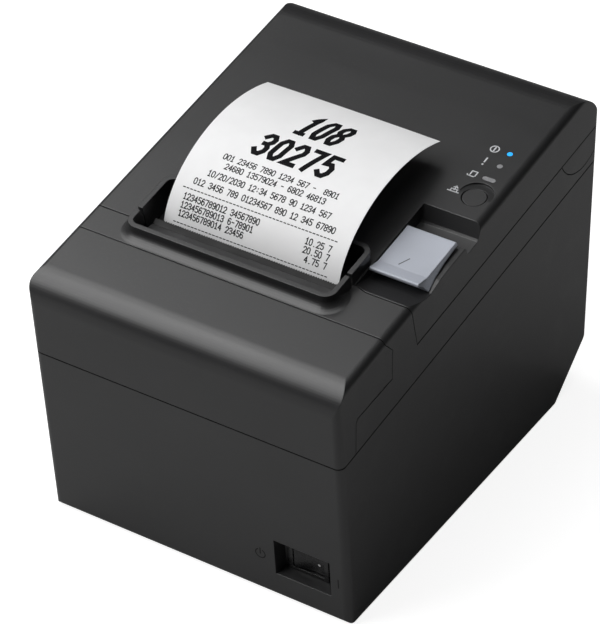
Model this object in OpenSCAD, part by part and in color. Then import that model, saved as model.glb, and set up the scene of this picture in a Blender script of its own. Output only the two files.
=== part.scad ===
// Receipt printer for 80 mm thermal rolls: clamshell roll cover, auto cutter, front power switch.
// Axes: x to the right, y to the back, z up. The origin is on the table, under the middle of the body.

/* [Body] */
// Width of the case
body_w = 140; // [138:1:150]
// Depth of the case
body_d = 199; // [198:1:210]
// Height of the case above the table
body_h = 146; // [145:1:152]
// Wall of the moulded shells
wall = 2.5; // [2.2:0.1:2.8]
// Height of the case bottom above the table
foot_h = 1.1; // [0.8:0.1:2]
// Forward lean of the front face, in degrees
front_lean = 5.2; // [4.5:0.1:5.5]
// Depth of the foremost point of the front face below the top
brow_drop = 37.8; // [36:0.1:40]
// Forward slope of the top face, in degrees
top_slope = 8.45; // [8.2:0.05:8.7]
// Rounding between the front and top faces
brow_r = 12; // [10:0.5:13]
// Rounding between the top and rear faces
rear_r = 20.2; // [19:0.1:21]
// Rounding of the long side edges
edge_r = 3.2; // [2.8:0.1:3.6]
// How far the chamfer under the back reaches forward
heel_depth = 26; // [24:1:28]
// How high the chamfer under the back reaches
heel_h = 22.4; // [20:0.5:24]

/* [Seams] */
// Gap seen along every seam
seam_gap = 0.4; // [0.3:0.05:0.5]
// Depth of the seam across the front face below the top
front_seam_drop = 63; // [62:0.5:66]
// Slope of the side seams, in degrees
seam_slope = 8.04; // [7.9:0.02:8.2]
// Distance of the roll cover's front lower corner behind the front
vee_back = 56.5; // [56:0.1:57.5]
// Depth of that corner below the top face
vee_drop = 20.2; // [19.8:0.1:20.6]
// Distance of the roll cover's right front edge behind the front, at the top
cover_right_back = 51.7; // [51:0.1:52.5]
// How much further forward the roll cover's left front edge lies
cover_left_step = 5.2; // [4.6:0.1:5.6]
// Distance of the cutter cover's rear edge behind the front
cutter_seam_back = 32.7; // [32:0.1:33.5]

/* [Hinge] */
// Distance of the hinge axis in front of the rear face
hinge_in = 13.6; // [13.4:0.1:14]
// Depth of the hinge axis below the top
hinge_drop = 13.3; // [13:0.1:13.6]
// Radius of the round hinge lobes
lobe_r = 19.4; // [19:0.1:20]
// Radius of the knuckles that hold the hinge pins
knuckle_r = 7; // [6:0.1:7.2]
// Radius of the hinge pins
hinge_pin_r = 2.5; // [2:0.1:3]

/* [Paper path] */
// Middle of the paper, left of the middle of the case
paper_shift = 2.5; // [2:0.1:3]
// How much wider the case is than the paper
paper_margin = 60.5; // [60:0.5:70]
// Thickness of the paper as modelled
paper_t = 0.3; // [0.2:0.05:0.4]
// Distance of the paper's exit plane behind the front
exit_back = 52; // [51.6:0.1:52.4]
// Room between the paper roll and its bucket
roll_room = 2.5; // [2:0.1:3]
// Distance of the bucket's front behind the exit plane
bucket_front_room = 34; // [33.5:0.1:35]
// Distance of the bucket's rear in front of the hinge axis
bucket_rear_room = 16.4; // [16:0.1:17]
// Depth of the bucket's axis below the top
bucket_drop = 67; // [66:0.5:68]
// Height of the bucket's floor above the table
bucket_floor = 37.5; // [37:0.5:40]
// Outer radius of the roll's core
core_r = 9; // [8:0.5:12]
// Wall of the roll's core
core_wall = 2; // [1:0.1:3]
// Length of the receipt outside the slot, along its back-curling part
receipt_reach = 86; // [70:1:90]

/* [Platen and head] */
// Radius of the platen rubber
platen_r = 6.5; // [6.3:0.1:6.6]
// Radius of the platen shaft
shaft_r = 2.5; // [2:0.1:3]
// Distance of the platen axis behind the exit plane
platen_back = 9; // [8.8:0.1:9.4]
// Depth of the platen axis below the top face at the exit plane
platen_drop = 18.7; // [18.4:0.1:19]
// Angle of the head below level, seen from the platen
head_tilt = 20; // [18:1:22]
// Thickness of the print head
head_t = 1.2; // [1:0.1:1.6]
// Thickness of the heat sink
sink_t = 5.5; // [4:0.5:6]

/* [Gears] */
// Module of the feed gears
feed_module = 0.8; // [0.8]
// Teeth of the platen gear
platen_teeth = 24; // [22:1:24]
// Teeth of the upper idler
idler_a_teeth = 32; // [30:1:33]
// Teeth of the lower idler
idler_b_teeth = 20; // [19:1:21]
// Teeth of the motor pinion
pinion_teeth = 14; // [13:1:15]
// Face width of the feed gears
gear_w = 5; // [4:0.5:5]
// Radius of the feed motor
motor_r = 17.5; // [15:0.5:17.5]

/* [Cutter] */
// Travel of the moving blade
blade_travel = 9; // [7:0.5:9]
// Thickness of both blades
blade_t = 0.8; // [0.6:0.1:1]
// Height of the moving blade above the platen axis
blade_rise = 7.9; // [7.8:0.1:8.2]
// Module of the rack
rack_module = 1; // [1]
// Teeth of the rack pinion
rack_pinion_teeth = 12; // [12]
// Teeth of the large cutter wheel
wheel_teeth = 36; // [34:1:36]
// Teeth of the cutter motor's pinion
cutter_pinion_teeth = 10; // [10]
// Radius of the cutter motor
cutter_motor_r = 10; // [8:0.5:11]

/* [Paper exit rim] */
// How far the rim reaches left of the paper
rim_left_over = 7.55; // [7.3:0.05:7.8]
// How far the rim reaches right of the paper
rim_right_over = 6.65; // [6.4:0.05:6.8]
// Front edge of the rim, in front of the exit plane
rim_front = 14.8; // [14.4:0.1:15]
// Rear edge of the rim, behind the exit plane
rim_rear = 17.2; // [16.8:0.1:17.6]
// Width of the rim's lip
rim_w = 2.1; // [1.8:0.1:2.2]
// Height of the lip above the top face
rim_h = 5.9; // [5.5:0.1:6.2]
// Rounding of the rim's corners
rim_r = 5; // [4:0.5:6]

/* [Lever and panel] */
// Distance of the cover-open lever's left edge from the right side
lever_in = 24.8; // [24.4:0.1:25]
// Width of the lever
lever_w = 21.4; // [20:0.1:22]
// Distance of the lever's rear edge behind the front
lever_back = 90.4; // [90:0.1:91]
// Length of the lever's top
lever_len = 28.6; // [27:0.1:29]
// Lift of the lever's front lip above the top face
lip_rise = 1.8; // [1.4:0.1:2.2]
// Depth of the pocket under the lever
pocket_depth = 4.2; // [4.2:0.1:4.6]
// Distance of the feed button and lamps from the right side
panel_in = 10; // [9.5:0.1:11]
// Distance of the feed button behind the front
button_back = 115.3; // [115:0.1:116.5]
// Radius of the feed button
button_r = 4.8; // [4.4:0.1:5.2]
// Travel of the feed button
button_travel = 0.8; // [0.5:0.1:1]

/* [Power switch] */
// Distance of the switch recess's left edge from the right side
recess_in = 33.5; // [33:0.1:34]
// Width of the recess
recess_w = 25.4; // [25:0.1:26]
// Bottom of the recess above the table
recess_z = 13.5; // [13:0.1:14]
// Height of the recess
recess_h = 18; // [17.5:0.1:18.5]
// Depth of the recess
recess_depth = 6; // [5.5:0.1:6.5]
// Width of the rocker
rocker_w = 13; // [12:0.1:14]
// Height of the rocker
rocker_h = 10; // [9.6:0.1:10.2]

/* [Rear sockets] */
// Distance of the socket recess's ends from the sides
recess_margin = 20; // [18:1:22]
// Distance of the power socket from the left end of the recess
power_in_end = 16; // [14:1:18]
// Distance of the cash drawer socket from the right end of the recess
drawer_in_end = 18; // [14:1:20]
// Depth of the socket recess in the rear face
socket_inset = 9; // [8:0.5:10]
// Height of the main board's top above the case bottom
board_rise = 25; // [24:0.5:26]

/* [Hidden] */
$fn = 40;
far = 300;
fit = 0.3;
running_fit = 0.06;
arc_steps = 18;
edge_steps = 8;

// Places that everything else is measured from
front_y = -body_d / 2;
back_y = body_d / 2;
half_w = body_w / 2;
exit_y = front_y + exit_back;
mid_x = -paper_shift;
paper_w = body_w - paper_margin;
brow_z = body_h - brow_drop;
front_seam_z = body_h - front_seam_drop;
top_z0 = body_h - rear_r + (rear_r - sin(top_slope) * (back_y - rear_r)) / cos(top_slope);
hinge = [back_y - hinge_in, body_h - hinge_drop];
platen = [exit_y + platen_back, top_z(exit_y) - platen_drop];
vee = [front_y + vee_back, top_z(front_y + vee_back) - vee_drop];
bucket_r = min((hinge.x - exit_y - bucket_front_room - bucket_rear_room) / 2, body_h - bucket_drop - bucket_floor);
bucket = [exit_y + bucket_front_room + bucket_r, body_h - bucket_drop];
roll_r = bucket_r - roll_room;
roll = [bucket.x, bucket.y - roll_room + fit];
rim_left = paper_w / 2 + paper_shift + rim_left_over;
rim_right = paper_w / 2 - paper_shift + rim_right_over;
lever_left = half_w - lever_in;
panel_x = half_w - panel_in;
button_y = front_y + button_back;
recess_left = half_w - recess_in;

function unit(v) = v / norm(v);
function turned(v, a) = [v.x * cos(a) - v.y * sin(a), v.x * sin(a) + v.y * cos(a)];
// Where the line through p along d meets the line through q along e
function meet(p, d, q, e) = p + d * (((q - p).x * e.y - (q - p).y * e.x) / (d.x * e.y - d.y * e.x));
// Points of one rounded corner
function corner(a, p, b, r, steps) =
    let(u = unit(a - p), v = unit(b - p), half = acos(u * v) / 2, c = p + unit(u + v) * r / sin(half))
    let(first = p + u * (r / tan(half)) - c, side = sign(u.x * v.y - u.y * v.x), sweep = 180 - 2 * half)
    r <= 0 ? [p] : [for (i = [0:steps]) c + turned(first, -side * sweep * i / steps)];
function rounded(path, radii, steps) = [
    for (i = [0:len(path) - 1])
        each corner(path[(i + len(path) - 1) % len(path)], path[i], path[(i + 1) % len(path)], radii[i], steps)
];
function top_z(y) = top_z0 + y * tan(top_slope);
function front_at(z) = front_y + (brow_z - z) * tan(front_lean);
front_seam_y = front_at(front_seam_z);
function low_seam(y) = front_seam_z + max(0, y - front_seam_y) * tan(seam_slope);
function high_seam(y) = vee.y + (y - vee.x) * tan(seam_slope);
// Distance measured along the sloping top face
function along(y) = y / cos(top_slope);

// Side profile of the case, drawn in by a given inset
heel = unit([heel_depth, heel_h]);
heel_normal = [heel.y, -heel.x];
function side_profile(t) =
    let(front_d = [-sin(front_lean), cos(front_lean)], top_d = [cos(top_slope), sin(top_slope)])
    let(front_p = [front_y, brow_z] + t * [cos(front_lean), sin(front_lean)])
    let(top_p = [0, top_z0] + t * [sin(top_slope), -cos(top_slope)])
    let(back_p = [back_y - t, 0], low_p = [0, foot_h + t])
    let(heel_p = [back_y, foot_h + heel_h] - t * heel_normal)
    rounded(
        [meet(front_p, front_d, low_p, [1, 0]), meet(front_p, front_d, top_p, top_d),
            meet(back_p, [0, 1], top_p, top_d), meet(back_p, [0, 1], heel_p, heel),
            meet(low_p, [1, 0], heel_p, heel)],
        [2.7, brow_r - t, rear_r - t, 2, 2], arc_steps);

// A prism along x of points given as [y, z]
module along_x(x0, x1, points) {
    translate([x0, 0, 0])
        rotate([90, 0, 90])
            linear_extrude(x1 - x0)
                polygon(points);
}
// A round bar along x about a point given as [y, z]
module bar_x(x0, x1, p, r) {
    translate([x0, p.x, p.y])
        rotate([0, 90, 0])
            cylinder(h = x1 - x0, r = r);
}
module box(low, high) {
    translate(low)
        cube(high - low);
}
// Children stand on the sloping top face, with z along its normal
module on_top() {
    translate([0, 0, top_z0])
        rotate([top_slope, 0, 0])
            children();
}
// Children stand on the leaning front face at height z, with y into the case
module on_front(z) {
    translate([0, front_at(z), z])
        rotate([front_lean, 0, 0])
            children();
}
module rounded_rect(x0, y0, x1, y1, r) {
    polygon(rounded([[x0, y0], [x1, y0], [x1, y1], [x0, y1]], [r, r, r, r], edge_steps));
}

// The outer body, drawn in by t, with rounded long edges
module body(t) {
    w = half_w - t;
    r = max(edge_r - t, 0.4);
    intersection() {
        along_x(-w, w, side_profile(t));
        translate([0, 0, -t / cos(top_slope)])
            on_top()
                rotate([90, 0, 0])
                    linear_extrude(2 * far, center = true)
                        rounded_rect(-w, -far, w, 0, r);
        translate([0, t / cos(front_lean), 0])
            on_front(brow_z)
                linear_extrude(2 * far, center = true)
                    rounded_rect(-w, 0, w, far, r);
        linear_extrude(2 * far, center = true)
            rounded_rect(-w, -far, w, back_y - t, r);
    }
}
module body_shell(t0, t1) {
    difference() {
        body(t0);
        body(t1);
    }
}
module below_low_seam() {
    along_x(-far, far, [[-far, -far], [far, -far], [far, low_seam(far)],
        [front_seam_y, front_seam_z], [-far, front_seam_z]]);
}
module above_low_seam() {
    g = seam_gap;
    along_x(-far, far, [[-far, front_seam_z + g], [front_seam_y, front_seam_z + g],
        [far, low_seam(far) + g], [far, far], [-far, far]]);
}
module below_high_seam() {
    along_x(-far, far, [[-far, high_seam(-far) - seam_gap], [far, high_seam(far) - seam_gap],
        [far, -far], [-far, -far]]);
}
module above_high_seam() {
    along_x(-far, far, [[-far, high_seam(-far)], [far, high_seam(far)], [far, far], [-far, far]]);
}
// Everything behind the leaning front edge of the roll cover; shift moves it along y
cover_edge = front_y + cover_right_back;
edge_lean = atan((vee.x - cover_edge) / (top_z(cover_edge) - vee.y));
module behind_cover_edge(shift) {
    left = cover_left_step;
    gap_y = exit_y - 4 - cover_edge;
    right_y = exit_y + 1.1 - cover_edge;
    translate([0, cover_edge + shift, top_z(cover_edge)])
        rotate([edge_lean, 0, 0])
            linear_extrude(2 * far, center = true)
                polygon(concat([[-far, far], [-far, -left], [-rim_left - 1.8, -left], [-rim_left - 1.8, gap_y],
                    [0, gap_y], [0, right_y]],
                    corner([0, right_y], [rim_right + 1.5, right_y], [rim_right + 6, 0], 2, edge_steps),
                    corner([rim_right + 1.5, right_y], [rim_right + 6, 0], [far, 0], 5, edge_steps),
                    [[far, 0], [far, far]]));
}
module above_high_seam_by(g) {
    translate([0, 0, -g])
        above_high_seam();
}
// The space that belongs to the roll cover, grown by g
module cover_zone(g) {
    intersection() {
        above_high_seam_by(g);
        behind_cover_edge(-g);
    }
    bar_x(-far, far, hinge, lobe_r + g);
}
// The space that belongs to the cutter cover, grown by g
cutter_seam_y = front_y + cutter_seam_back;
lap_y = cutter_seam_y + 5.3;
lap_rise = 20.4;
lap_z = front_seam_z + lap_rise;
shin_y = front_y + 12.3;
module cutter_zone(g) {
    along_x(-far, far, [[-far, foot_h], [shin_y + g, foot_h], [shin_y + g, lap_z - 4],
        [shin_y + 1.2 + g, lap_z - 2.2 - g], [lap_y + g, lap_z - g], [lap_y + g, lap_z + 13.5],
        [cutter_seam_y + g, lap_z + 19], [cutter_seam_y + g, far], [-far, far]]);
}

// ---- Lower case and what stands in it ----
base_t = 2.4;
base_x = half_w - wall - fit;
base_front = front_at(foot_h) + wall + 1;
base_back = back_y - heel_depth - 2.2;
boss_r = 4;
boss_x = half_w - wall - boss_r + 0.3;
boss_ys = [base_front + 8, base_back - 12];
screw_r = 1.5;
head_seat = 1.7;
frame_drop = 48.7;
frame_z = platen.y - frame_drop;
frame_half = paper_w / 2 + 9.25;
post_x = frame_half - 15;
post_ys = [exit_y - 31, exit_y + 16];
board_top = foot_h + board_rise;
board_t = 1.6;
recess_wall_y = back_y - socket_inset;
board_back = recess_wall_y - wall - 0.5;
board_front = exit_y + 27;
board_half = half_w - 12;
board_post_xs = [-board_half + 6, board_half - 6];
board_post_ys = [board_front + 8, board_back - 22];
recess_low = board_top - 0.7;
recess_top = board_top + 16;
recess_half = half_w - recess_margin;

// Sockets: [middle x, width, height]
usb = [0, 12, 10.8];
power_in = [power_in_end - recess_half, 14.6, 12];
drawer = [recess_half - drawer_in_end, 14, 13];
module socket_hole(s) {
    box([s.x - s.y / 2 - fit, recess_wall_y - wall - 1, board_top - 0.1],
        [s.x + s.y / 2 + fit, recess_wall_y + 1, board_top + s.z + fit]);
}
module socket_block(s, depth) {
    box([s.x - s.y / 2, recess_wall_y + 0.6 - depth, board_top],
        [s.x + s.y / 2, recess_wall_y + 0.6, board_top + s.z]);
}

// The moulded recess of the power switch, cut into the leaning front face
recess_draft = 1.2;
module recess_space() {
    right = recess_left + recess_w;
    intersection() {
        along_x(recess_left, right, [[-5, 0], [0, 0], [recess_depth, 0.5],
            [recess_depth, recess_h], [-5, recess_h]]);
        linear_extrude(recess_h)
            polygon([[recess_left, -5], [recess_left, 0], [recess_left + recess_draft, recess_depth],
                [right, recess_depth], [right, -5]]);
    }
}
switch_x = recess_left + 12.2;
switch_up = 7.4;
bezel = [rocker_w + 5.2, rocker_h + 3.4];
switch_body = [rocker_w + 3.6, rocker_h + 2.6];
module switch_block(w, h, y0, y1) {
    box([switch_x - w / 2, y0, switch_up - h / 2], [switch_x + w / 2, y1, switch_up + h / 2]);
}

module lower_case() {
    color("#38383a")
        difference() {
            union() {
                intersection() {
                    body_shell(0, wall);
                    below_low_seam();
                }
                for (x = [-boss_x, boss_x], y = boss_ys)
                    translate([x, y, foot_h + base_t + 0.1])
                        cylinder(h = 16, r = boss_r);
                // Back wall of the switch recess
                intersection() {
                    on_front(recess_z)
                        box([recess_left - 2, 0.5, -2], [recess_left + recess_w + 2, recess_depth + 2, recess_h + 2]);
                    body(0.5);
                }
                // Walls of the socket recess
                intersection() {
                    box([-recess_half - wall, recess_wall_y - wall, recess_low - wall],
                        [recess_half + wall, back_y, recess_top + wall]);
                    body(0.5);
                }
            }
            // Way in for the base plate
            box([-half_w + wall, base_front - fit, -1], [half_w - wall, base_back + fit, foot_h + base_t + 0.1]);
            for (x = [-boss_x, boss_x], y = boss_ys)
                translate([x, y, 0])
                    cylinder(h = 16, r = screw_r + 0.02);
            on_front(recess_z)
                recess_space();
            on_front(recess_z)
                switch_block(switch_body.x + 0.2, switch_body.y + 0.2, recess_depth - 1, recess_depth + 4);
            box([-recess_half, recess_wall_y, recess_low], [recess_half, back_y + 1, recess_top]);
            for (s = [usb, power_in, drawer])
                socket_hole(s);
        }
}

module base_plate() {
    color("#9a9c9e")
        difference() {
            union() {
                box([-base_x, base_front, foot_h], [base_x, base_back, foot_h + base_t]);
                for (x = [mid_x - post_x, mid_x + post_x], y = post_ys)
                    translate([x, y, foot_h + base_t - 0.1])
                        cylinder(h = frame_z - foot_h - base_t + 0.1, r = 4.5);
                for (x = board_post_xs, y = board_post_ys)
                    translate([x, y, foot_h + base_t - 0.1])
                        cylinder(h = board_top - board_t - foot_h - base_t + 0.1, r = 3);
            }
            for (x = [-boss_x, boss_x], y = boss_ys) {
                translate([x, y, 0])
                    cylinder(h = 9, r = screw_r + 0.1);
                translate([x, y, 0])
                    cylinder(h = foot_h + head_seat, r = 3.2);
            }
            for (x = [mid_x - post_x, mid_x + post_x], y = post_ys)
                translate([x, y, frame_z - 10])
                    cylinder(h = 11, r = screw_r + 0.02);
            for (x = [-foot_x, foot_x], y = foot_ys)
                translate([x, y, 0])
                    cylinder(h = foot_h + foot_set, r = foot_r + 0.1);
        }
}
foot_r = 6;
foot_set = 0.8;
foot_x = half_w - 16;
foot_ys = [base_front + 22, base_back - 26];
module rubber_feet() {
    color("#1b1b1c")
        for (x = [-foot_x, foot_x], y = foot_ys)
            translate([x, y, 0])
                cylinder(h = foot_h + foot_set, r = foot_r);
}
module screw(length) {
    translate([0, 0, -length])
        cylinder(h = length, r = screw_r);
    difference() {
        cylinder(h = 1.6, r = 2.8);
        translate([0, 0, 0.7])
            cylinder(h = 1, r = 1.2, $fn = 6);
    }
}
module base_screws() {
    color("#8e9092")
        for (x = [-boss_x, boss_x], y = boss_ys)
            translate([x, y, foot_h + head_seat])
                mirror([0, 0, 1])
                    screw(12);
}

// ---- Upper case ----
deck_t = 2.2;
deck_drop = 1.2;
bucket_wall = 2;
bucket_in = paper_w / 2 + 1.2;
bucket_out = bucket_in + bucket_wall;
bucket_front = bucket.x - bucket_r - bucket_wall;
bucket_rear = bucket.x + bucket_r + bucket_wall;
flange = 3;
deck_front = bucket_front - flange - 1.5;
function deck_z(y) = high_seam(y) - seam_gap - deck_drop;
ear_x = [half_w - 13.5, half_w - 8.4];
rim_y0 = along(exit_y - rim_front);
rim_y1 = along(exit_y + rim_rear);
rim_depth = 6;
shelf_y = exit_y - 3.7;
shelf_z = top_z(exit_y) - 1.9;
shelf_x = [-rim_left + rim_w + 3.2, rim_right - rim_w + 0.2];
// Toothed edge of the tear bar, which lies back at 45 degrees
tear_edge = [exit_y - 1.5, top_z(exit_y) - 0.35];
tear_t = 0.6;
tear_len = 4;
// Cove in front of the rim: its reach, its height and the angle it starts at
cove = [3.6, 3.3];
cove_start = 25;
cove_steps = 6;
rim_break = 1.5;

module rim_outline(inset) {
    rounded_rect(-rim_left + inset, rim_y0 + inset, rim_right - inset, rim_y1 - inset, rim_r - inset);
}
module rim_ring() {
    on_top()
        translate([0, 0, -rim_depth])
            linear_extrude(rim_depth + rim_h)
                difference() {
                    rim_outline(0);
                    rim_outline(rim_w);
                }
}
module rim_space(depth) {
    on_top()
        translate([0, 0, -depth])
            linear_extrude(depth + 9)
                rim_outline(rim_w);
}
// The cove that leads up to the rim's front half
module cove_layer(i) {
    a = cove_start + (90 - cove_start) * i / cove_steps;
    grow = cove.x * (1 - sin(a)) / (1 - sin(cove_start));
    translate([0, 0, cove.y * (1 - cos(a) / cos(cove_start)) - (i == 0 ? 0.5 : 0)])
        linear_extrude(i == 0 ? 0.5 : 0.02)
            rounded_rect(-rim_left - grow, rim_y0 - grow, rim_right + grow, rim_y0 + 10.6 + grow, rim_r + grow);
}
module cove_ring() {
    on_top()
        for (i = [0:cove_steps - 1])
            hull() {
                cove_layer(i);
                cove_layer(i + 1);
            }
}
module ear(side) {
    x0 = side > 0 ? ear_x[0] : -ear_x[1];
    x1 = side > 0 ? ear_x[1] : -ear_x[0];
    bar_x(x0, x1, hinge, knuckle_r);
    along_x(x0, x1, [[hinge.x - 6, hinge.y], [hinge.x + 2.5, hinge.y],
        [hinge.x + 2, hinge.y - lobe_r - 1.5], [hinge.x - 7.5, hinge.y - lobe_r - 1.5]]);
}
module upper_case() {
    color("#3b3b3d") {
        difference() {
            union() {
                difference() {
                    union() {
                        intersection() {
                            body_shell(0, wall);
                            above_low_seam();
                        }
                        cove_ring();
                        // Lip under the cutter cover's rear edge
                        intersection() {
                            body_shell(wall - 0.1, wall + 1.8);
                            box([-far, cutter_seam_y + seam_gap + 0.1, lap_z + 8], [far, cutter_seam_y + 4, far]);
                        }
                        intersection() {
                            body_shell(wall + fit, wall + 1.8);
                            box([-far, cutter_seam_y - 4, lap_z + 8], [far, cutter_seam_y + 4, far]);
                        }
                        difference() {
                            rim_ring();
                            behind_cover_edge(-rim_break);
                        }
                    }
                    rim_space(rim_depth + 6);
                    difference() {
                        cutter_zone(seam_gap);
                        body(wall + 0.2);
                    }
                }
                // Shelf inside the rim, and the leaning seat of the tear bar
                difference() {
                    union() {
                        along_x(shelf_x[0], shelf_x[1],
                            [[exit_y - rim_front + rim_w - 0.2, shelf_z - 2.6], [shelf_y, shelf_z - 2.6],
                                [shelf_y, shelf_z], [exit_y - rim_front + rim_w - 0.2, shelf_z - 0.4]]);
                        along_x(shelf_x[0], shelf_x[1],
                            [[shelf_y - 0.7, shelf_z - 2.6], [tear_edge.x + 0.5, shelf_z - 2.6],
                                [tear_edge.x + 0.5, tear_edge.y - 0.8], [tear_edge.x + 0.2, tear_edge.y - 0.5],
                                [shelf_y - 0.7, tear_edge.y - 3.5]]);
                    }
                    tear_space(0.05);
                }
                // Deck round the bucket, and the trough below the hinge
                intersection() {
                    body(wall - 0.2);
                    along_x(-far, far, [[deck_front, deck_z(deck_front)], [hinge.x - lobe_r + 2, deck_z(hinge.x - lobe_r + 2)],
                        [hinge.x - lobe_r + 2, deck_z(hinge.x - lobe_r + 2) - deck_t],
                        [deck_front, deck_z(deck_front) - deck_t]]);
                }
                intersection() {
                    body(wall - 0.2);
                    below_high_seam();
                    bar_x(-far, far, hinge, lobe_r + seam_gap + deck_t);
                }
            }
            cover_zone(seam_gap);
            // Way through the deck for the bucket
            box([mid_x - bucket_out - fit, bucket_front - fit, bucket.y],
                [mid_x + bucket_out + fit, bucket_rear + fit, hinge.y]);
        }
        difference() {
            for (side = [-1, 1])
                ear(side);
            bar_x(-far, far, hinge, hinge_pin_r + 0.02);
        }
        // Catch for the lever's hook
        along_x(lug_x[0] - 1, lug_x[1] + 1, [[hook_y + 2.5, deck_z(0) - 2.5], [hook_y + 8, deck_z(0) - 2],
            [hook_y + 8, deck_z(0) + 5], [hook_y + 0.5, deck_z(0) + 4.4], [hook_y + 0.5, deck_z(0) + 3],
            [hook_y + 2.5, deck_z(0) + 1]]);
    }
}
module cutter_cover() {
    color("#4a4a4c")
        intersection() {
            body_shell(0, wall - 0.2);
            above_low_seam();
            cutter_zone(0);
        }
}
// Saw-toothed strip for tearing by hand
tear_left = shelf_x[0] + 0.2;
tear_right = rim_right - rim_w - 0.3;
tooth = 1.1;
tooth_h = 0.5;
// The strip's place without its teeth; drawn in a frame whose y runs up the strip
module on_tear_bar() {
    translate([0, tear_edge.x, tear_edge.y])
        rotate([45, 0, 0])
            children();
}
module tear_space(g) {
    on_tear_bar()
        box([tear_left - g, -tear_len - g, -tear_t - g], [tear_right + g, 9, g]);
}
module tear_bar() {
    n = floor((tear_right - tear_left) / tooth) - 1;
    low = -tooth_h;
    color("#515356")
        on_tear_bar()
            translate([tear_left, 0, -tear_t])
                linear_extrude(tear_t)
                    polygon(concat([[0, -tear_len]], [for (i = [0:n]) each [[i * tooth, low], [(i + 0.5) * tooth, 0]]],
                        [[(n + 1) * tooth, low], [(n + 1) * tooth, -tear_len]]));
}

// ---- Roll bucket, roll and paper ----
nip = platen - platen_r * [cos(head_tilt), sin(head_tilt)];
nip_up = [-sin(head_tilt), cos(head_tilt)];
nip_out = [cos(head_tilt), sin(head_tilt)];
// Point at distance u along the paper and v towards the platen, from the nip
function at_nip(u, v) = nip + u * nip_up + v * nip_out;
paper_gap = 0.08;
web_low = at_nip(-24, -paper_gap - paper_t / 2);
web_high = at_nip(-4, -paper_gap - paper_t / 2);
web_top = [exit_y, platen.y + blade_rise - 0.6];
// Point where a line from p touches the underside of a circle about c
function under_touch(p, c, r) =
    let(d = p - c, a = atan2(d.y, d.x) + acos(r / norm(d)))
    c + r * [cos(a), sin(a)];
web_start = under_touch(web_low, roll, roll_r + 0.1 + paper_t / 2);
function bend(a, b, c, steps) = [
    for (i = [0:steps]) let(t = i / steps) (1 - t) * (1 - t) * a + 2 * t * (1 - t) * b + t * t * c
];
function curve(a, b, c, d, steps) = [
    for (i = [0:steps])
        let(t = i / steps, s = 1 - t) s * s * s * a + 3 * s * s * t * b + 3 * s * t * t * c + t * t * t * d
];
// A strip of a given thickness along a path of [y, z] points
function strip(path, t) =
    let(n = len(path) - 1)
    let(side = [for (i = [0:n]) let(d = unit(path[min(i + 1, n)] - path[max(i - 1, 0)])) [-d.y, d.x] * t / 2])
    concat([for (i = [0:n]) path[i] + side[i]], [for (i = [n:-1:0]) path[i] - side[i]]);
module paper_strip(path) {
    along_x(mid_x - paper_w / 2, mid_x + paper_w / 2, strip(path, paper_t));
}
module paper_web() {
    high = at_nip(5, -paper_gap - paper_t / 2);
    color("#eeeeec")
        paper_strip(concat(bend(web_start, web_low, web_high, 10), bend(high, at_nip(9, -0.2), web_top, 4)));
}
// The receipt: up out of the slot, then curling back over the cover
receipt_start = [exit_y + 0.1, platen.y + blade_rise + 2.6];
receipt_end = [exit_y + receipt_reach - 10.1, body_h + 1.6];
module receipt_paper() {
    color("#f4f4f2")
        paper_strip(curve(receipt_start, receipt_start + [1, 24.5], receipt_end + [-39.2, 13.5], receipt_end, 26));
}
module paper_roll() {
    color("#efefec")
        difference() {
            bar_x(mid_x - paper_w / 2, mid_x + paper_w / 2, roll, roll_r);
            bar_x(-far, far, roll, core_r + 0.05);
        }
}
module roll_core() {
    color("#b79a72")
        difference() {
            bar_x(mid_x - paper_w / 2, mid_x + paper_w / 2, roll, core_r);
            bar_x(-far, far, roll, core_r - core_wall);
        }
}
module roll_bucket() {
    outer = bucket_r + bucket_wall;
    top = deck_z(bucket_front);
    color("#343436")
        difference() {
            union() {
                bar_x(mid_x - bucket_out, mid_x + bucket_out, bucket, outer);
                along_x(mid_x - bucket_out, mid_x + bucket_out, [[bucket_front, bucket.y], [bucket_rear, bucket.y],
                    [bucket_rear, deck_z(bucket_rear) + 1.4], [bucket_front, top + 1.4]]);
                along_x(mid_x - bucket_out - flange, mid_x + bucket_out + flange,
                    [[bucket_front - 1, deck_z(bucket_front - 1)], [bucket_rear + flange, deck_z(bucket_rear + flange)],
                        [bucket_rear + flange, deck_z(bucket_rear + flange) + 1.4],
                        [bucket_front - 1, deck_z(bucket_front - 1) + 1.4]]);
                near_end_pin();
            }
            bar_x(mid_x - bucket_in, mid_x + bucket_in, bucket, bucket_r);
            along_x(mid_x - bucket_in, mid_x + bucket_in, [[bucket.x - bucket_r, bucket.y],
                [bucket.x + bucket_r, bucket.y], [bucket.x + bucket_r, far], [bucket.x - bucket_r, far]]);
            bar_x(-far, far, hinge, lobe_r + seam_gap + deck_t + fit);
            // Front opening for the paper web
            box([mid_x - bucket_in, -far, web_start.y - 9.2], [mid_x + bucket_in, web_start.x + 2.9, far]);
            near_end_window();
        }
}
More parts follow.
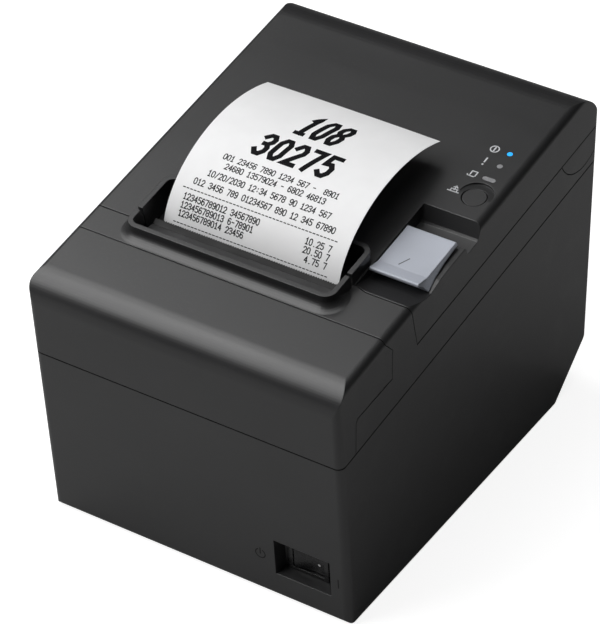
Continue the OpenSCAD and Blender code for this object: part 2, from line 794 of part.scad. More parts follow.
// Lever whose nub feels the side of a nearly used roll through a window
near_end = [mid_x + bucket_out + 4, bucket.x + 6, bucket.y - 20];
module near_end_window() {
    box([mid_x + bucket_in - 1, near_end.y + 9, near_end.z - 3], [mid_x + bucket_out + 1, near_end.y + 17, near_end.z + 3]);
}
module near_end_lever() {
    color("#d8d8d2")
        difference() {
            union() {
                translate([near_end.x, near_end.y, near_end.z - 2.5])
                    cylinder(h = 5, r = 3);
                box([near_end.x - 1, near_end.y, near_end.z - 2.5], [near_end.x + 1, near_end.y + 15, near_end.z + 2.5]);
                box([mid_x + paper_w / 2 + 0.4, near_end.y + 11, near_end.z - 2.5],
                    [near_end.x + 1, near_end.y + 15, near_end.z + 2.5]);
            }
            translate([near_end.x, near_end.y, near_end.z - 5])
                cylinder(h = 10, r = 1.5 + running_fit);
        }
}
module near_end_pin() {
    translate([near_end.x, near_end.y, near_end.z - 4])
        cylinder(h = 8, r = 1.5);
    for (side = [-1, 1])
        box([mid_x + bucket_out - 0.1, near_end.y - 3, near_end.z + side * 3.6 - 0.8],
            [near_end.x + 3, near_end.y + 3, near_end.z + side * 3.6 + 0.8]);
}

// ---- Boards, sockets and switch ----
module main_board() {
    color("#1f5a3a") {
        difference() {
            box([-board_half, board_front, board_top - board_t], [board_half, board_back, board_top]);
            for (x = board_post_xs, y = board_post_ys)
                translate([x, y, 0])
                    cylinder(h = far, r = screw_r);
        }
        // Processor, regulator block, capacitors and the cable headers
        box([-12, board_front + 30, board_top - 0.1], [4, board_front + 46, board_top + 1.6]);
        box([-50, board_front + 16, board_top - 0.1], [-34, board_front + 28, board_top + 6]);
        box([-24, board_front + 4, board_top - 0.1], [8, board_front + 9, board_top + 5]);
        box([30, board_front + 14, board_top - 0.1], [44, board_front + 20, board_top + 5]);
        for (i = [0:2])
            translate([38 - 13 * i, (board_front + 2 * board_back) / 3, board_top - 0.1])
                cylinder(h = i == 2 ? 7 : 6, r = 4);
    }
}
module usb_socket() {
    color("#c4c6c8")
        difference() {
            socket_block(usb, 16);
            box([usb.x - 4.3, recess_wall_y - 9, board_top + 1.4], [usb.x + 4.3, recess_wall_y + 2, board_top + 9.3]);
        }
    color("#c4c6c8")
        box([usb.x - 2.8, recess_wall_y - 9.1, board_top + 3.8], [usb.x + 2.8, recess_wall_y - 0.6, board_top + 6.9]);
}
module power_socket() {
    color("#29292b")
        difference() {
            socket_block(power_in, 15);
            translate([power_in.x, recess_wall_y + 1, board_top + 6])
                rotate([90, 0, 0])
                    cylinder(h = 10, r = 4.8);
        }
    color("#29292b")
        for (a = [0:120:240])
            translate([power_in.x + 2.4 * cos(a + 90), recess_wall_y - 1.5, board_top + 6 + 2.4 * sin(a + 90)])
                rotate([90, 0, 0])
                    cylinder(h = 7.6, r = 0.6);
}
module drawer_socket() {
    color("#d9d9d4")
        difference() {
            socket_block(drawer, 17);
            box([drawer.x - 5, recess_wall_y - 11, board_top + 3], [drawer.x + 5, recess_wall_y + 2, board_top + 10]);
            box([drawer.x - 2, recess_wall_y - 11, board_top + 1.2], [drawer.x + 2, recess_wall_y + 2, board_top + 4]);
        }
}
rocker_axis_y = recess_depth + 1.6;
module switch_housing() {
    color("#121213")
        on_front(recess_z)
            difference() {
                union() {
                    switch_block(bezel.x, bezel.y, recess_depth - 1, recess_depth);
                    switch_block(switch_body.x, switch_body.y, recess_depth - 0.1, recess_depth + 13);
                }
                switch_block(rocker_w + 1.2, rocker_h + 0.6, recess_depth - 2, recess_depth + 6.4);
                translate([switch_x, rocker_axis_y, switch_up - rocker_h / 2 - 0.8])
                    cylinder(h = rocker_h + 1.6, r = 1 + running_fit);
            }
    color("#b08d57")
        on_front(recess_z)
            for (i = [-1, 1])
                box([switch_x + 4 * i - 2, recess_depth + 12.9, switch_up - 0.4],
                    [switch_x + 4 * i + 2, recess_depth + 19, switch_up + 0.4]);
}
rocker_tilt = 7;
module power_rocker() {
    w = rocker_w / 2;
    color("#161617")
        on_front(recess_z)
            translate([switch_x, rocker_axis_y, switch_up])
                rotate([0, 0, rocker_tilt]) {
                    translate([0, 0, -rocker_h / 2])
                        linear_extrude(rocker_h)
                            polygon(concat([[-w, -2.4]], [for (i = [-3:3]) [i * w / 4, -1.5 - i * i / 14]],
                                [[w, -2.4], [w, 0.4], [2, 3], [-2, 3], [-w, 0.4]]));
                    translate([0, 0, -rocker_h / 2 - 0.7])
                        cylinder(h = rocker_h + 1.4, r = 1);
                }
}

// ---- Mechanism frame, head and feed drive ----
plate_t = 2;
frame_l = mid_x - frame_half - plate_t + 0.1;
frame_r = mid_x + frame_half;
frame_front = exit_y - 40.5;
frame_back = exit_y + 21.5;
cutter_deck_z = platen.y + 0.3;
cutter_deck_t = 1.8;
frame_top = platen.y + 5.3;
gear_x = frame_l - 1.5 - gear_w;
sink_back = -paper_gap - paper_t - 0.02 - head_t;
sink_front = sink_back - sink_t;
pivot = at_nip(-20, sink_front + 3);
spring_len = 5.6;
bar_v = sink_front - 0.5 - spring_len;
swing = atan2(hinge.y - platen.y, hinge.x - platen.x);

// Children stand at the nip, with y towards the platen and z up along the paper
module in_nip_frame() {
    translate([0, nip.x, nip.y])
        rotate([head_tilt, 0, 0])
            children();
}
module frame_plate(x0) {
    difference() {
        along_x(x0, x0 + plate_t, [[frame_front, frame_z], [frame_back, frame_z], [frame_back, frame_z + 30],
            [platen.x + 7, frame_top], [platen.x - 6.5, frame_top], [exit_y - 8, cutter_deck_z],
            [frame_front, cutter_deck_z]]);
        bar_x(-far, far, platen, shaft_r + 0.5);
        // Open slot along the way that the shaft swings out
        translate([0, platen.x, platen.y])
            rotate([swing, 0, 0])
                box([-far, -shaft_r - 0.4, 0], [far, shaft_r + 0.4, 3 * platen_r]);
        bar_x(-far, far, pivot, 2.05);
    }
}
module mech_frame() {
    color("#a9abad") {
        difference() {
            union() {
                box([frame_l, frame_front, frame_z], [frame_r + plate_t, frame_back, frame_z + plate_t]);
                frame_plate(frame_l);
                frame_plate(frame_r);
            }
            for (x = [mid_x - post_x, mid_x + post_x], y = post_ys)
                translate([x, y, frame_z - 1])
                    cylinder(h = plate_t + 2, r = screw_r + 0.1);
            for (p = [gear_a, gear_b])
                bar_x(-far, 0, p, gear_pin_r + 0.02);
            bar_x(frame_l - 1, frame_l + plate_t + 1, motor, 3.2);
        }
        // Bar that the head springs push against
        in_nip_frame()
            box([frame_l + plate_t - 0.1, bar_v - 1.6, -1.6], [frame_r + 0.1, bar_v, 5.2]);
    }
}
frame_screw_len = 9;
module frame_screws() {
    color("#c9cbcd")
        for (x = [mid_x - post_x, mid_x + post_x], y = post_ys)
            translate([x, y, frame_z + plate_t])
                screw(frame_screw_len);
}
module print_head() {
    color("#c9b79a")
        in_nip_frame()
            box([mid_x - blade_half, sink_back, -12], [mid_x + blade_half, sink_back + head_t, 6]);
    // Driver cover below the heating line
    color("#c9b79a")
        in_nip_frame()
            box([mid_x - blade_half + 4, sink_back + head_t - 0.1, -12],
                [mid_x + blade_half - 4, sink_back + head_t + 0.05, -7]);
}
module heat_sink() {
    color("#b4b6b8")
        difference() {
            union() {
                in_nip_frame()
                    box([mid_x - blade_half, sink_front, -22], [mid_x + blade_half, sink_back, 6.5]);
                bar_x(frame_l, frame_r + plate_t, pivot, 2);
            }
            in_nip_frame()
                for (i = [-4:4])
                    box([mid_x + 9 * i - 2, sink_front - 1, -16], [mid_x + 9 * i + 2, sink_front + 2, -5]);
        }
}
// A coil of round wire along z
module coil(r, wire, turns, h) {
    steps = 12;
    n = ceil(turns * steps);
    sides = 6;
    rings = [for (i = [0:n]) let(a = 360 * i / steps) [for (j = [0:sides - 1]) let(b = 360 * j / sides)
        [(r + wire * cos(b)) * cos(a), (r + wire * cos(b)) * sin(a), wire + (h - 2 * wire) * i / n + wire * sin(b)]]];
    polyhedron(
        [for (ring = rings) each ring],
        concat([[for (j = [0:sides - 1]) j]], [[for (j = [sides - 1:-1:0]) n * sides + j]],
            [for (i = [0:n - 1], j = [0:sides - 1])
                [i * sides + j, (i + 1) * sides + j, (i + 1) * sides + (j + 1) % sides, i * sides + (j + 1) % sides]]));
}
module head_springs() {
    color("#d0d2d4")
        in_nip_frame()
            for (i = [-1:1])
                translate([mid_x + 28 * i, bar_v + 0.05, 2])
                    rotate([-90, 0, 0])
                        coil(2.6, 0.4, 4.5, spring_len);
}

// Feed gears stand between the frame's left plate and the case wall
gear_pin_r = 1.8;
out_dir = [-sin(swing), cos(swing)];
function gear_r(teeth) = feed_module * teeth / 2;
gear_a = platen - out_dir * (gear_r(platen_teeth) + gear_r(idler_a_teeth) + 0.05);
motor = [exit_y - 18.5, platen.y - 24.7];
// Lower idler: touches both the upper idler and the motor pinion
reach_a = gear_r(idler_a_teeth) + gear_r(idler_b_teeth) + 0.05;
reach_m = gear_r(pinion_teeth) + gear_r(idler_b_teeth) + 0.05;
span = norm(gear_a - motor);
span_dir = (gear_a - motor) / span;
span_part = (reach_m * reach_m - reach_a * reach_a + span * span) / (2 * span);
gear_b = motor + span_dir * span_part + [span_dir.y, -span_dir.x] * sqrt(reach_m * reach_m - span_part * span_part);
function angle_to(a, b) = atan2(b.y - a.y, b.x - a.x);
// Turn of gear b that meshes with gear a turned by turn_a, with their line of centres at angle phi
function mesh_turn(phi, turn_a, teeth_a, teeth_b) = phi + 180 - 180 / teeth_b + (phi - turn_a) * teeth_a / teeth_b;
turn_a = mesh_turn(angle_to(platen, gear_a), 0, platen_teeth, idler_a_teeth);
turn_b = mesh_turn(angle_to(gear_a, gear_b), turn_a, idler_a_teeth, idler_b_teeth);
turn_m = mesh_turn(angle_to(gear_b, motor), turn_b, idler_b_teeth, pinion_teeth);
// Outline of a spur gear whose first tooth points along x
module gear_outline(m, teeth) {
    r = m * teeth / 2;
    at = 90 / teeth;
    low = r - 1.2 * m;
    high = r + 0.85 * m;
    function spot(rad, half, i) = rad * [cos(i * 4 * at + half), sin(i * 4 * at + half)];
    polygon([for (i = [0:teeth - 1]) each [spot(low, -at * 1.25, i), spot(r, -at * 0.8, i), spot(high, -at * 0.35, i),
        spot(high, at * 0.35, i), spot(r, at * 0.8, i), spot(low, at * 1.25, i)]]);
}
// A feed gear about p, turned in the y-z plane
module feed_gear(p, teeth, turn, hub_r, bore) {
    translate([gear_x, p.x, p.y])
        rotate([90, 0, 90])
            difference() {
                union() {
                    linear_extrude(gear_w)
                        rotate(turn)
                            gear_outline(feed_module, teeth);
                    translate([0, 0, -0.6])
                        cylinder(h = gear_w + 1.2, r = hub_r);
                }
                if (teeth > 18)
                    for (z = [-1, gear_w - 1.2])
                        translate([0, 0, z])
                            difference() {
                                cylinder(h = 2.2, r = feed_module * teeth / 2 - 2.4);
                                translate([0, 0, -1])
                                    cylinder(h = 5, r = hub_r);
                            }
                translate([0, 0, -2])
                    cylinder(h = gear_w + 4, r = bore);
            }
}
module platen_gear() {
    color("#e6e2d6")
        feed_gear(platen, platen_teeth, 0, 4, shaft_r);
}
module idler_gear_a() {
    color("#e6e2d6")
        feed_gear(gear_a, idler_a_teeth, turn_a, 4, gear_pin_r + running_fit);
}
module idler_gear_b() {
    color("#e6e2d6")
        feed_gear(gear_b, idler_b_teeth, turn_b, 3.4, gear_pin_r + running_fit);
}
module gear_pins() {
    color("#c9cbcd")
        for (p = [gear_a, gear_b]) {
            bar_x(gear_x - 1.6, frame_l + plate_t, p, gear_pin_r);
            bar_x(gear_x - 2.2, gear_x - 0.9, p, gear_pin_r + 1);
        }
}
module motor_pinion() {
    color("#b08d57")
        feed_gear(motor, pinion_teeth, turn_m, 3.2, 1.2);
    color("#c9cbcd")
        bar_x(gear_x - 0.6, frame_l + plate_t + 0.6, motor, 1.2);
}
module feed_motor() {
    x0 = frame_l + plate_t;
    color("#8f9193") {
        difference() {
            bar_x(x0, x0 + 18, motor, motor_r);
            bar_x(x0 - 1, x0 + 3, motor, 3);
        }
    }
}

// ---- Auto cutter ----
blade_z = platen.y + blade_rise;
deck_top = cutter_deck_z + cutter_deck_t;
blade_half = paper_w / 2 + 4.25;
tongue = 1.6;
rail_end = exit_y - 9.5;
cutter_axis = [mid_x + 10, exit_y - 28.5];
rack_line = cutter_axis.x - rack_module * rack_pinion_teeth / 2;
cutter_wheel_r = feed_module * wheel_teeth / 2;
cutter_motor_at = [cutter_axis.x + cutter_wheel_r + feed_module * cutter_pinion_teeth / 2 + 0.05, cutter_axis.y];
wheel_z = deck_top + 0.4;
small_z = wheel_z + 2.2;
rack_low = small_z + 0.1;
blade_edge = exit_y - 1.7;
cutter_reach = 42;
cutter_front = exit_y - cutter_reach;
module cutter_frame() {
    color("#bcbec0")
        difference() {
            union() {
                box([frame_l, cutter_front, cutter_deck_z], [frame_r + plate_t, rail_end - 1, deck_top]);
                for (side = [-1, 1])
                    box([mid_x + side * (blade_half + 1.9) - 1.5, cutter_front, deck_top - 0.1],
                        [mid_x + side * (blade_half + 1.9) + 1.5, rail_end, blade_z + 2]);
            }
            for (side = [-1, 1])
                box([mid_x + side * (blade_half + 0.8) - 1.4, cutter_front - 1, blade_z - 0.2],
                    [mid_x + side * (blade_half + 0.8) + 1.4, rail_end + 1, blade_z + blade_t + 0.2]);
            translate([cutter_axis.x, cutter_axis.y, 0])
                cylinder(h = far, r = gear_pin_r + 0.02);
            translate([cutter_motor_at.x, cutter_motor_at.y, 0])
                cylinder(h = far, r = 2.2);
        }
}
module moving_blade() {
    pitch = PI * rack_module;
    y0 = cutter_axis.y - blade_travel - 5;
    y1 = cutter_axis.y + 5;
    color("#d6d8da") {
        translate([0, 0, blade_z])
            linear_extrude(blade_t)
                polygon([[mid_x - blade_half, rail_end - 10], [mid_x - blade_half, blade_edge],
                    [mid_x, blade_edge - 4], [mid_x + blade_half, blade_edge],
                    [mid_x + blade_half, rail_end - 10], [mid_x + blade_half + tongue, rail_end - 10],
                    [mid_x + blade_half + tongue, rail_end - 28], [mid_x - blade_half - tongue, rail_end - 28],
                    [mid_x - blade_half - tongue, rail_end - 10]]);
        // Rack under the blade, one tooth space facing the pinion's first tooth
        translate([rack_line, cutter_axis.y, rack_low])
            linear_extrude(blade_z - rack_low + 0.1)
                polygon(concat([[-6, y0 - cutter_axis.y], [-1.25 * rack_module, y0 - cutter_axis.y]],
                    [for (i = [-floor((blade_travel + 4) / pitch) : 0]) let(c = (i + 0.5) * pitch) each
                        [[-1.25, c - 1.02] * rack_module, [0.8, c - 0.32] * rack_module,
                            [0.8, c + 0.32] * rack_module, [-1.25, c + 1.02] * rack_module]],
                    [[-1.25 * rack_module, y1 - cutter_axis.y], [-6, y1 - cutter_axis.y]]));
    }
}
module cutter_gear() {
    color("#e6e2d6")
        translate([cutter_axis.x, cutter_axis.y, 0])
            difference() {
                union() {
                    translate([0, 0, wheel_z])
                        linear_extrude(2)
                            gear_outline(feed_module, wheel_teeth);
                    translate([0, 0, small_z - 0.3])
                        linear_extrude(blade_z - small_z)
                            rotate(180)
                                gear_outline(rack_module, rack_pinion_teeth);
                }
                cylinder(h = far, r = gear_pin_r + running_fit);
            }
}
module cutter_gear_pin() {
    color("#c9cbcd")
        translate([cutter_axis.x, cutter_axis.y, cutter_deck_z])
            cylinder(h = blade_z - cutter_deck_z - 0.4, r = gear_pin_r);
}
module cutter_motor() {
    color("#8f9193")
        translate([cutter_motor_at.x, cutter_motor_at.y, cutter_deck_z - 26])
            difference() {
                cylinder(h = 26, r = cutter_motor_r);
                translate([0, 0, 24])
                    cylinder(h = 4, r = 2);
            }
}
module cutter_pinion() {
    color("#b08d57")
        translate([cutter_motor_at.x, cutter_motor_at.y, wheel_z])
            linear_extrude(2)
                rotate(180 - 180 / cutter_pinion_teeth)
                    gear_outline(feed_module, cutter_pinion_teeth);
    color("#c9cbcd")
        translate([cutter_motor_at.x, cutter_motor_at.y, cutter_deck_z - 1.5])
            cylinder(h = wheel_z + 3 - cutter_deck_z, r = 1.2);
}
module cover_sensor() {
    x0 = frame_r + plate_t;
    color("#2d2d2f")
        difference() {
            box([x0, platen.x - 12, platen.y - 13], [x0 + 6, platen.x + 2, platen.y - 6]);
            for (y = [platen.x - 9, platen.x - 1])
                bar_x(x0 - 1, x0 + 7, [y, platen.y - 9.5], 1);
        }
    color("#d8d8d2")
        box([x0 + 2, platen.x - 6, platen.y - 6.1], [x0 + 4, platen.x - 4, platen.y - 4.6]);
}

// ---- Roll cover and what it carries ----
lobe_boss = [half_w - 8, half_w - wall + 0.1];
module hinge_pins() {
    color("#c9cbcd")
        for (side = [-1, 1])
            bar_x(side > 0 ? ear_x[0] : -lobe_boss[1] + 0.6, side > 0 ? lobe_boss[1] - 0.6 : -ear_x[0], hinge, hinge_pin_r);
}
// Pocket under the lever, as [distance along the top, height above it]
pocket_left = lever_left - 0.7;
lever_y1 = along(front_y + lever_back);
lever_y0 = lever_y1 - lever_len;
pocket_y0 = along(cover_edge);
pocket_y1 = lever_y1 + 13.6;
pocket_rear = 5.8;
function pocket_floor(extra) = [
    [pocket_y0 - 3, 0.2 - extra], [pocket_y0 + 0.5, -extra], [lever_y0 - 0.4, 0.6 - pocket_depth - extra],
    [lever_y0 + 3.4, -pocket_depth - extra], [lever_y0 + 10, -2.9 - extra], [lever_y0 + 18, -2.6 - extra],
    [lever_y1 + 0.8, -2.6 - extra], [lever_y1 + 2.4, -pocket_rear - 0.8 - extra],
    [pocket_y1 - 4, -pocket_rear - 0.8 - extra], [pocket_y1 - 3.2, -pocket_rear - extra], [pocket_y1, -extra]
];
pivot_along = lever_y1 - 3;
pivot_drop = 8;
lug_x = [lever_left + 6, lever_left + 13.4];
hook_drop = 12.2;
hook_y = (pivot_along + 4) * cos(top_slope) + (pivot_drop + hook_drop) * sin(top_slope);
module pocket_cut() {
    on_top()
        along_x(pocket_left, half_w + 1, concat(pocket_floor(0), [[pocket_y1, 9], [pocket_y0 - 3, 9]]));
}
module pocket_skin() {
    intersection() {
        on_top()
            along_x(pocket_left - 2, half_w + 1, concat(pocket_floor(-0.05),
                [for (i = [len(pocket_floor(0)) - 1:-1:0]) pocket_floor(2)[i]]));
        body(0.05);
        behind_cover_edge(0);
    }
    // Left wall of the pocket
    intersection() {
        on_top() {
            box([pocket_left - 2, pocket_y0, -pocket_depth - 2], [pocket_left, pocket_y1, -1]);
            box([pocket_left - 2, lever_y1 + 0.8, -pocket_rear - 2.8], [pocket_left, pocket_y1, -1]);
        }
        body(0.05);
        behind_cover_edge(0);
    }
}
module on_panel(y) {
    on_top()
        translate([panel_x, along(y), 0])
            children();
}
lamp_y = [button_y + 11.2, button_y + 19.6, button_y + 27.5];
pill = [2.8, 1];
module pill_shape(grow) {
    rounded_rect(-pill.x - grow, -pill.y - grow, pill.x + grow, pill.y + grow, pill.y + grow - 0.01);
}
notch_top = hinge.y + 5.2;
board_drop = 9;
module roll_cover() {
    color("#3a3a3c")
        difference() {
            union() {
                difference() {
                    intersection() {
                        union() {
                            body_shell(0, wall);
                            rim_ring();
                        }
                        cover_zone(0);
                    }
                    rim_space(rim_depth + 6);
                    pocket_cut();
                }
                pocket_skin();
                // Hinge bosses inside the side walls
                for (side = [-1, 1])
                    bar_x(side > 0 ? lobe_boss[0] : -lobe_boss[1], side > 0 ? lobe_boss[1] : -lobe_boss[0], hinge, 6.5);
                // Lugs for the lever's pin
                for (x = [lug_x[0] - 2.5, lug_x[1] + 0.3])
                    on_top()
                        box([x, pivot_along - 3.5, -pivot_drop - 3], [x + 2.2, pivot_along + 3.5, -2.2]);
                // Bosses for the liner and for the panel board
                for (x = liner_xs)
                    on_top()
                        translate([x, liner_screw_y, -liner_drop])
                            cylinder(h = liner_drop - wall + 0.2, r = 3);
                for (y = [button_y - 9.2, lamp_y[2] + 6])
                    on_panel(y)
                        translate([0, 0, -board_drop])
                            cylinder(h = board_drop - wall + 0.2, r = 2.5);
            }
            // Ways for the case's hinge ears
            for (side = [-1, 1])
                box([side > 0 ? ear_x[0] - 0.5 : -ear_x[1] - 0.5, hinge.x - 4, hinge.y - lobe_r - 2],
                    [side > 0 ? ear_x[1] + 0.5 : -ear_x[0] + 0.5, back_y + 1, notch_top]);
            bar_x(-half_w + wall + 0.4, half_w - wall - 0.4, hinge, hinge_pin_r + running_fit);
            on_top()
                box([lug_x[0] - 0.3, pivot_along - 6.5, -pivot_drop - 4], [lug_x[1] + 0.3, pivot_along + 4.5, -1]);
            on_top()
                bar_x(lug_x[0] - 3, lug_x[1] + 3, [pivot_along, -pivot_drop], lever_pin_r + 0.02);
            // Button hole with its leaning dish, and the lamp windows
            on_panel(button_y)
                translate([0, 0, -wall - 1])
                    cylinder(h = far, r = button_r + 0.4);
            on_panel(button_y)
                translate([0, 1.5, -0.15])
                    rotate([-7, 0, 0])
                        cylinder(h = 9, r = 7);
            for (y = [lamp_y[1], lamp_y[2]])
                on_panel(y)
                    translate([0, 0, -wall - 1])
                        cylinder(h = far, r = lamp_r + 0.05);
            on_panel(lamp_y[0])
                translate([0, 0, -wall - 1])
                    linear_extrude(far)
                        pill_shape(0.05);
            for (x = liner_xs)
                on_top()
                    translate([x, liner_screw_y, -liner_drop - 1])
                        cylinder(h = 5, r = screw_r + 0.02);
        }
}

// Liner: paper slope behind the slot, fixed blade seat and the two platen ears
fixed_z = blade_z + blade_t + 0.1;
liner_l = mid_x - frame_half + 1.3;
liner_r = mid_x + frame_half - 0.3;
ear_t = 3;
liner_back = exit_y + 33.5;
liner_drop = 5.2;
liner_xs = [mid_x - paper_w / 2 - 0.25, mid_x + paper_w / 2 + 0.25];
liner_screw_y = along(exit_y + 29.5);
bush_r = 3.6;
riser_y = exit_y + rim_rear + 1.4;
plate_r = pocket_left - 2.3;
module swing_room(x0, x1, r) {
    difference() {
        box([x0, exit_y - 3, platen.y - 8], [x1, exit_y + 12, hinge.y]);
        bar_x(-far, far, hinge, r, $fn = 180);
    }
}
module cover_liner() {
    color("#303032")
        difference() {
            union() {
                along_x(liner_l, liner_r, [[exit_y + 1.1, fixed_z + blade_t], [exit_y + 2.4, fixed_z + blade_t + 2.2],
                    [riser_y, top_z(riser_y) - rim_depth - 0.5], [riser_y + 0.4, top_z(riser_y) - rim_depth - 2.8],
                    [exit_y + 9, fixed_z + blade_t]]);
                intersection() {
                    on_top()
                        box([liner_l, along(exit_y + 20), -liner_drop - 2.2],
                            [plate_r, along(liner_back), -liner_drop]);
                    box([-far, riser_y, 0], [far, liner_back, far]);
                }
                along_x(liner_l, plate_r, [[riser_y, top_z(riser_y) - rim_depth - 2.8],
                    [riser_y, top_z(riser_y) - liner_drop - 0.4],
                    [riser_y + 2.5, top_z(riser_y + 2.5) - liner_drop - 0.4],
                    [riser_y + 2.5, top_z(riser_y) - rim_depth - 2.8]]);
                for (x = [liner_l, liner_r - ear_t])
                    along_x(x, x + ear_t, [[platen.x - 5.6, platen.y - 6.5], [platen.x + 6.5, platen.y - 6.5],
                        [exit_y + 21.5, fixed_z + 3], [exit_y + 21.5, top_z(exit_y + 21) - rim_depth - 2],
                        [exit_y + 4, fixed_z + blade_t + 1], [exit_y + 2.2, fixed_z]]);
            }
            // Right side kept clear of the case's front edge as the cover swings
            swing_room(rim_right - rim_w - 0.4, liner_r - ear_t - 0.1, hinge.x - exit_y - 5.4);
            swing_room(liner_r - ear_t - 0.1, far, hinge.x - exit_y - 2.2);
            bar_x(-far, far, platen, bush_r + 0.02);
            for (x = liner_xs)
                on_top()
                    translate([x, liner_screw_y, -liner_drop - 9])
                        cylinder(h = 12, r = screw_r + 0.1);
        }
}
module liner_screws() {
    color("#8e9092")
        for (x = liner_xs)
            on_top()
                translate([x, liner_screw_y, -liner_drop - 2.2])
                    mirror([0, 0, 1])
                        screw(5.8);
}
module fixed_blade() {
    color("#d6d8da")
        box([liner_l + ear_t + 0.2, exit_y + 0.5, fixed_z], [rim_right - rim_w - 0.5, exit_y + 8.5, fixed_z + blade_t]);
}
module platen_shaft() {
    color("#c9cbcd")
        bar_x(gear_x - 1, liner_r + 0.5, platen, shaft_r);
}
module platen_rubber() {
    color("#232325")
        difference() {
            bar_x(mid_x - paper_w / 2 - 0.4, mid_x + paper_w / 2 + 0.4, platen, platen_r);
            bar_x(-far, far, platen, shaft_r);
        }
}
module platen_bushes() {
    color("#b99a5b")
        for (x = [liner_l, liner_r - ear_t])
            difference() {
                bar_x(x, x + ear_t, platen, bush_r);
                bar_x(-far, far, platen, shaft_r + running_fit);
            }
}

// Cover-open lever with its hook
lever_pin_r = 1.5;
lever_flare = 2.6;
module cover_open_lever() {
    x1 = lever_left + lever_w;
    h = -pivot_drop;
    color("#a8acb8")
        on_top()
            difference() {
                union() {
                    intersection() {
                        along_x(lever_left, half_w, [[lever_y1, -0.1], [lever_y1 - 0.6, 0], [lever_y0 + 6.6, 0],
                            [lever_y0 + 0.7, lip_rise], [lever_y0 + 0.1, lip_rise - 0.2], [lever_y0, lip_rise - 1.2],
                            [lever_y0 + 2.4, -0.9], [lever_y0 + 3.6, 0.4 - pocket_depth],
                            [lever_y0 + 10.2, -2.4], [lever_y0 + 18, -1.5], [lever_y1, -1.1]]);
                        rotate([90, 0, 0])
                            linear_extrude(2 * far, center = true)
                                polygon([[lever_left, -9], [lever_left, 9], [x1, 9], [x1, -0.1],
                                    [x1 + lever_flare, -pocket_depth], [x1 + lever_flare, -9]]);
                    }
                    along_x(lug_x[0], lug_x[1], [[pivot_along - 5, -0.9], [pivot_along + 1.5, -0.9],
                        [pivot_along + 3, h], [pivot_along + 2, h - 3], [pivot_along + 2, h - hook_drop + 2.8],
                        [pivot_along + 4, h - hook_drop + 0.8], [pivot_along + 4, h - hook_drop],
                        [pivot_along - 2, h - hook_drop],
                        [pivot_along - 2, h - 3], [pivot_along - 3.5, h]]);
                }
                bar_x(-far, far, [pivot_along, h], lever_pin_r + running_fit);
            }
}
module lever_pin() {
    color("#c9cbcd")
        on_top()
            bar_x(lug_x[0] - 2.5, lug_x[1] + 6.5, [pivot_along, -pivot_drop], lever_pin_r);
}
module lever_spring() {
    color("#d0d2d4")
        on_top()
            translate([lug_x[1] + 2.8, pivot_along, -pivot_drop])
                rotate([0, 90, 0])
                    coil(2.1, 0.35, 4, 3.6);
}

// Feed button, lamps and their board
lamp_r = 1.15;
skirt_r = button_r + 1;
module feed_button() {
    color("#454547")
        on_panel(button_y) {
            translate([0, 0, -wall - 2.2])
                cylinder(h = wall + 2, r = button_r);
            translate([0, 0, -wall - 2.6])
                cylinder(h = 1.6, r = skirt_r);
            translate([0, 0, -board_drop + 2.2 + button_travel])
                cylinder(h = board_drop - 4.6 - button_travel, r = 1.5);
        }
}
module button_spring() {
    color("#d0d2d4")
        on_panel(button_y)
            translate([0, 0, -board_drop + 0.05])
                coil(2.4, 0.3, 3, board_drop - wall - 2.6 - 1);
}
module panel_board() {
    color("#1f5a3a") {
        difference() {
            on_top()
                box([panel_x - 7.5, along(button_y - 12.2), -board_drop - 1.4],
                    [panel_x + 6.5, along(lamp_y[2] + 9), -board_drop]);
            for (y = [button_y - 9.2, lamp_y[2] + 6])
                on_panel(y)
                    translate([0, 0, -board_drop - 3])
                        cylinder(h = 9, r = 1);
        }
        on_panel(button_y)
            translate([0, 0, -board_drop - 0.1])
                cylinder(h = 2, r = 1.6);
    }
}
module power_lamp() {
    color("#3fb4ff")
        on_panel(lamp_y[2])
            translate([0, 0, -board_drop])
                cylinder(h = board_drop, r = lamp_r);
}
module status_lamps() {
    color("#8c8c8c") {
        on_panel(lamp_y[1])
            translate([0, 0, -board_drop])
                cylinder(h = board_drop, r = lamp_r);
        on_panel(lamp_y[0])
            translate([0, 0, -board_drop])
                linear_extrude(board_drop)
                    pill_shape(0);
    }
}

lower_case();
base_plate();
rubber_feet();
base_screws();
upper_case();
cutter_cover();
tear_bar();
roll_bucket();
near_end_lever();
main_board();
usb_socket();
power_socket();
drawer_socket();
switch_housing();
power_rocker();
mech_frame();
frame_screws();
print_head();
heat_sink();
head_springs();
feed_motor();
motor_pinion();
idler_gear_a();
idler_gear_b();
gear_pins();
cutter_frame();
moving_blade();
cutter_gear();
cutter_gear_pin();
cutter_motor();
cutter_pinion();
cover_sensor();
hinge_pins();
roll_cover();
cover_liner();
liner_screws();
fixed_blade();
platen_shaft();
platen_rubber();
platen_gear();
platen_bushes();
cover_open_lever();
lever_pin();
lever_spring();
feed_button();
button_spring();
panel_board();
power_lamp();
status_lamps();
paper_roll();
roll_core();
paper_web();
receipt_paper();
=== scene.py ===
"""Receipt printer: finishes, paper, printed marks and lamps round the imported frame, on a plain stage."""

import math

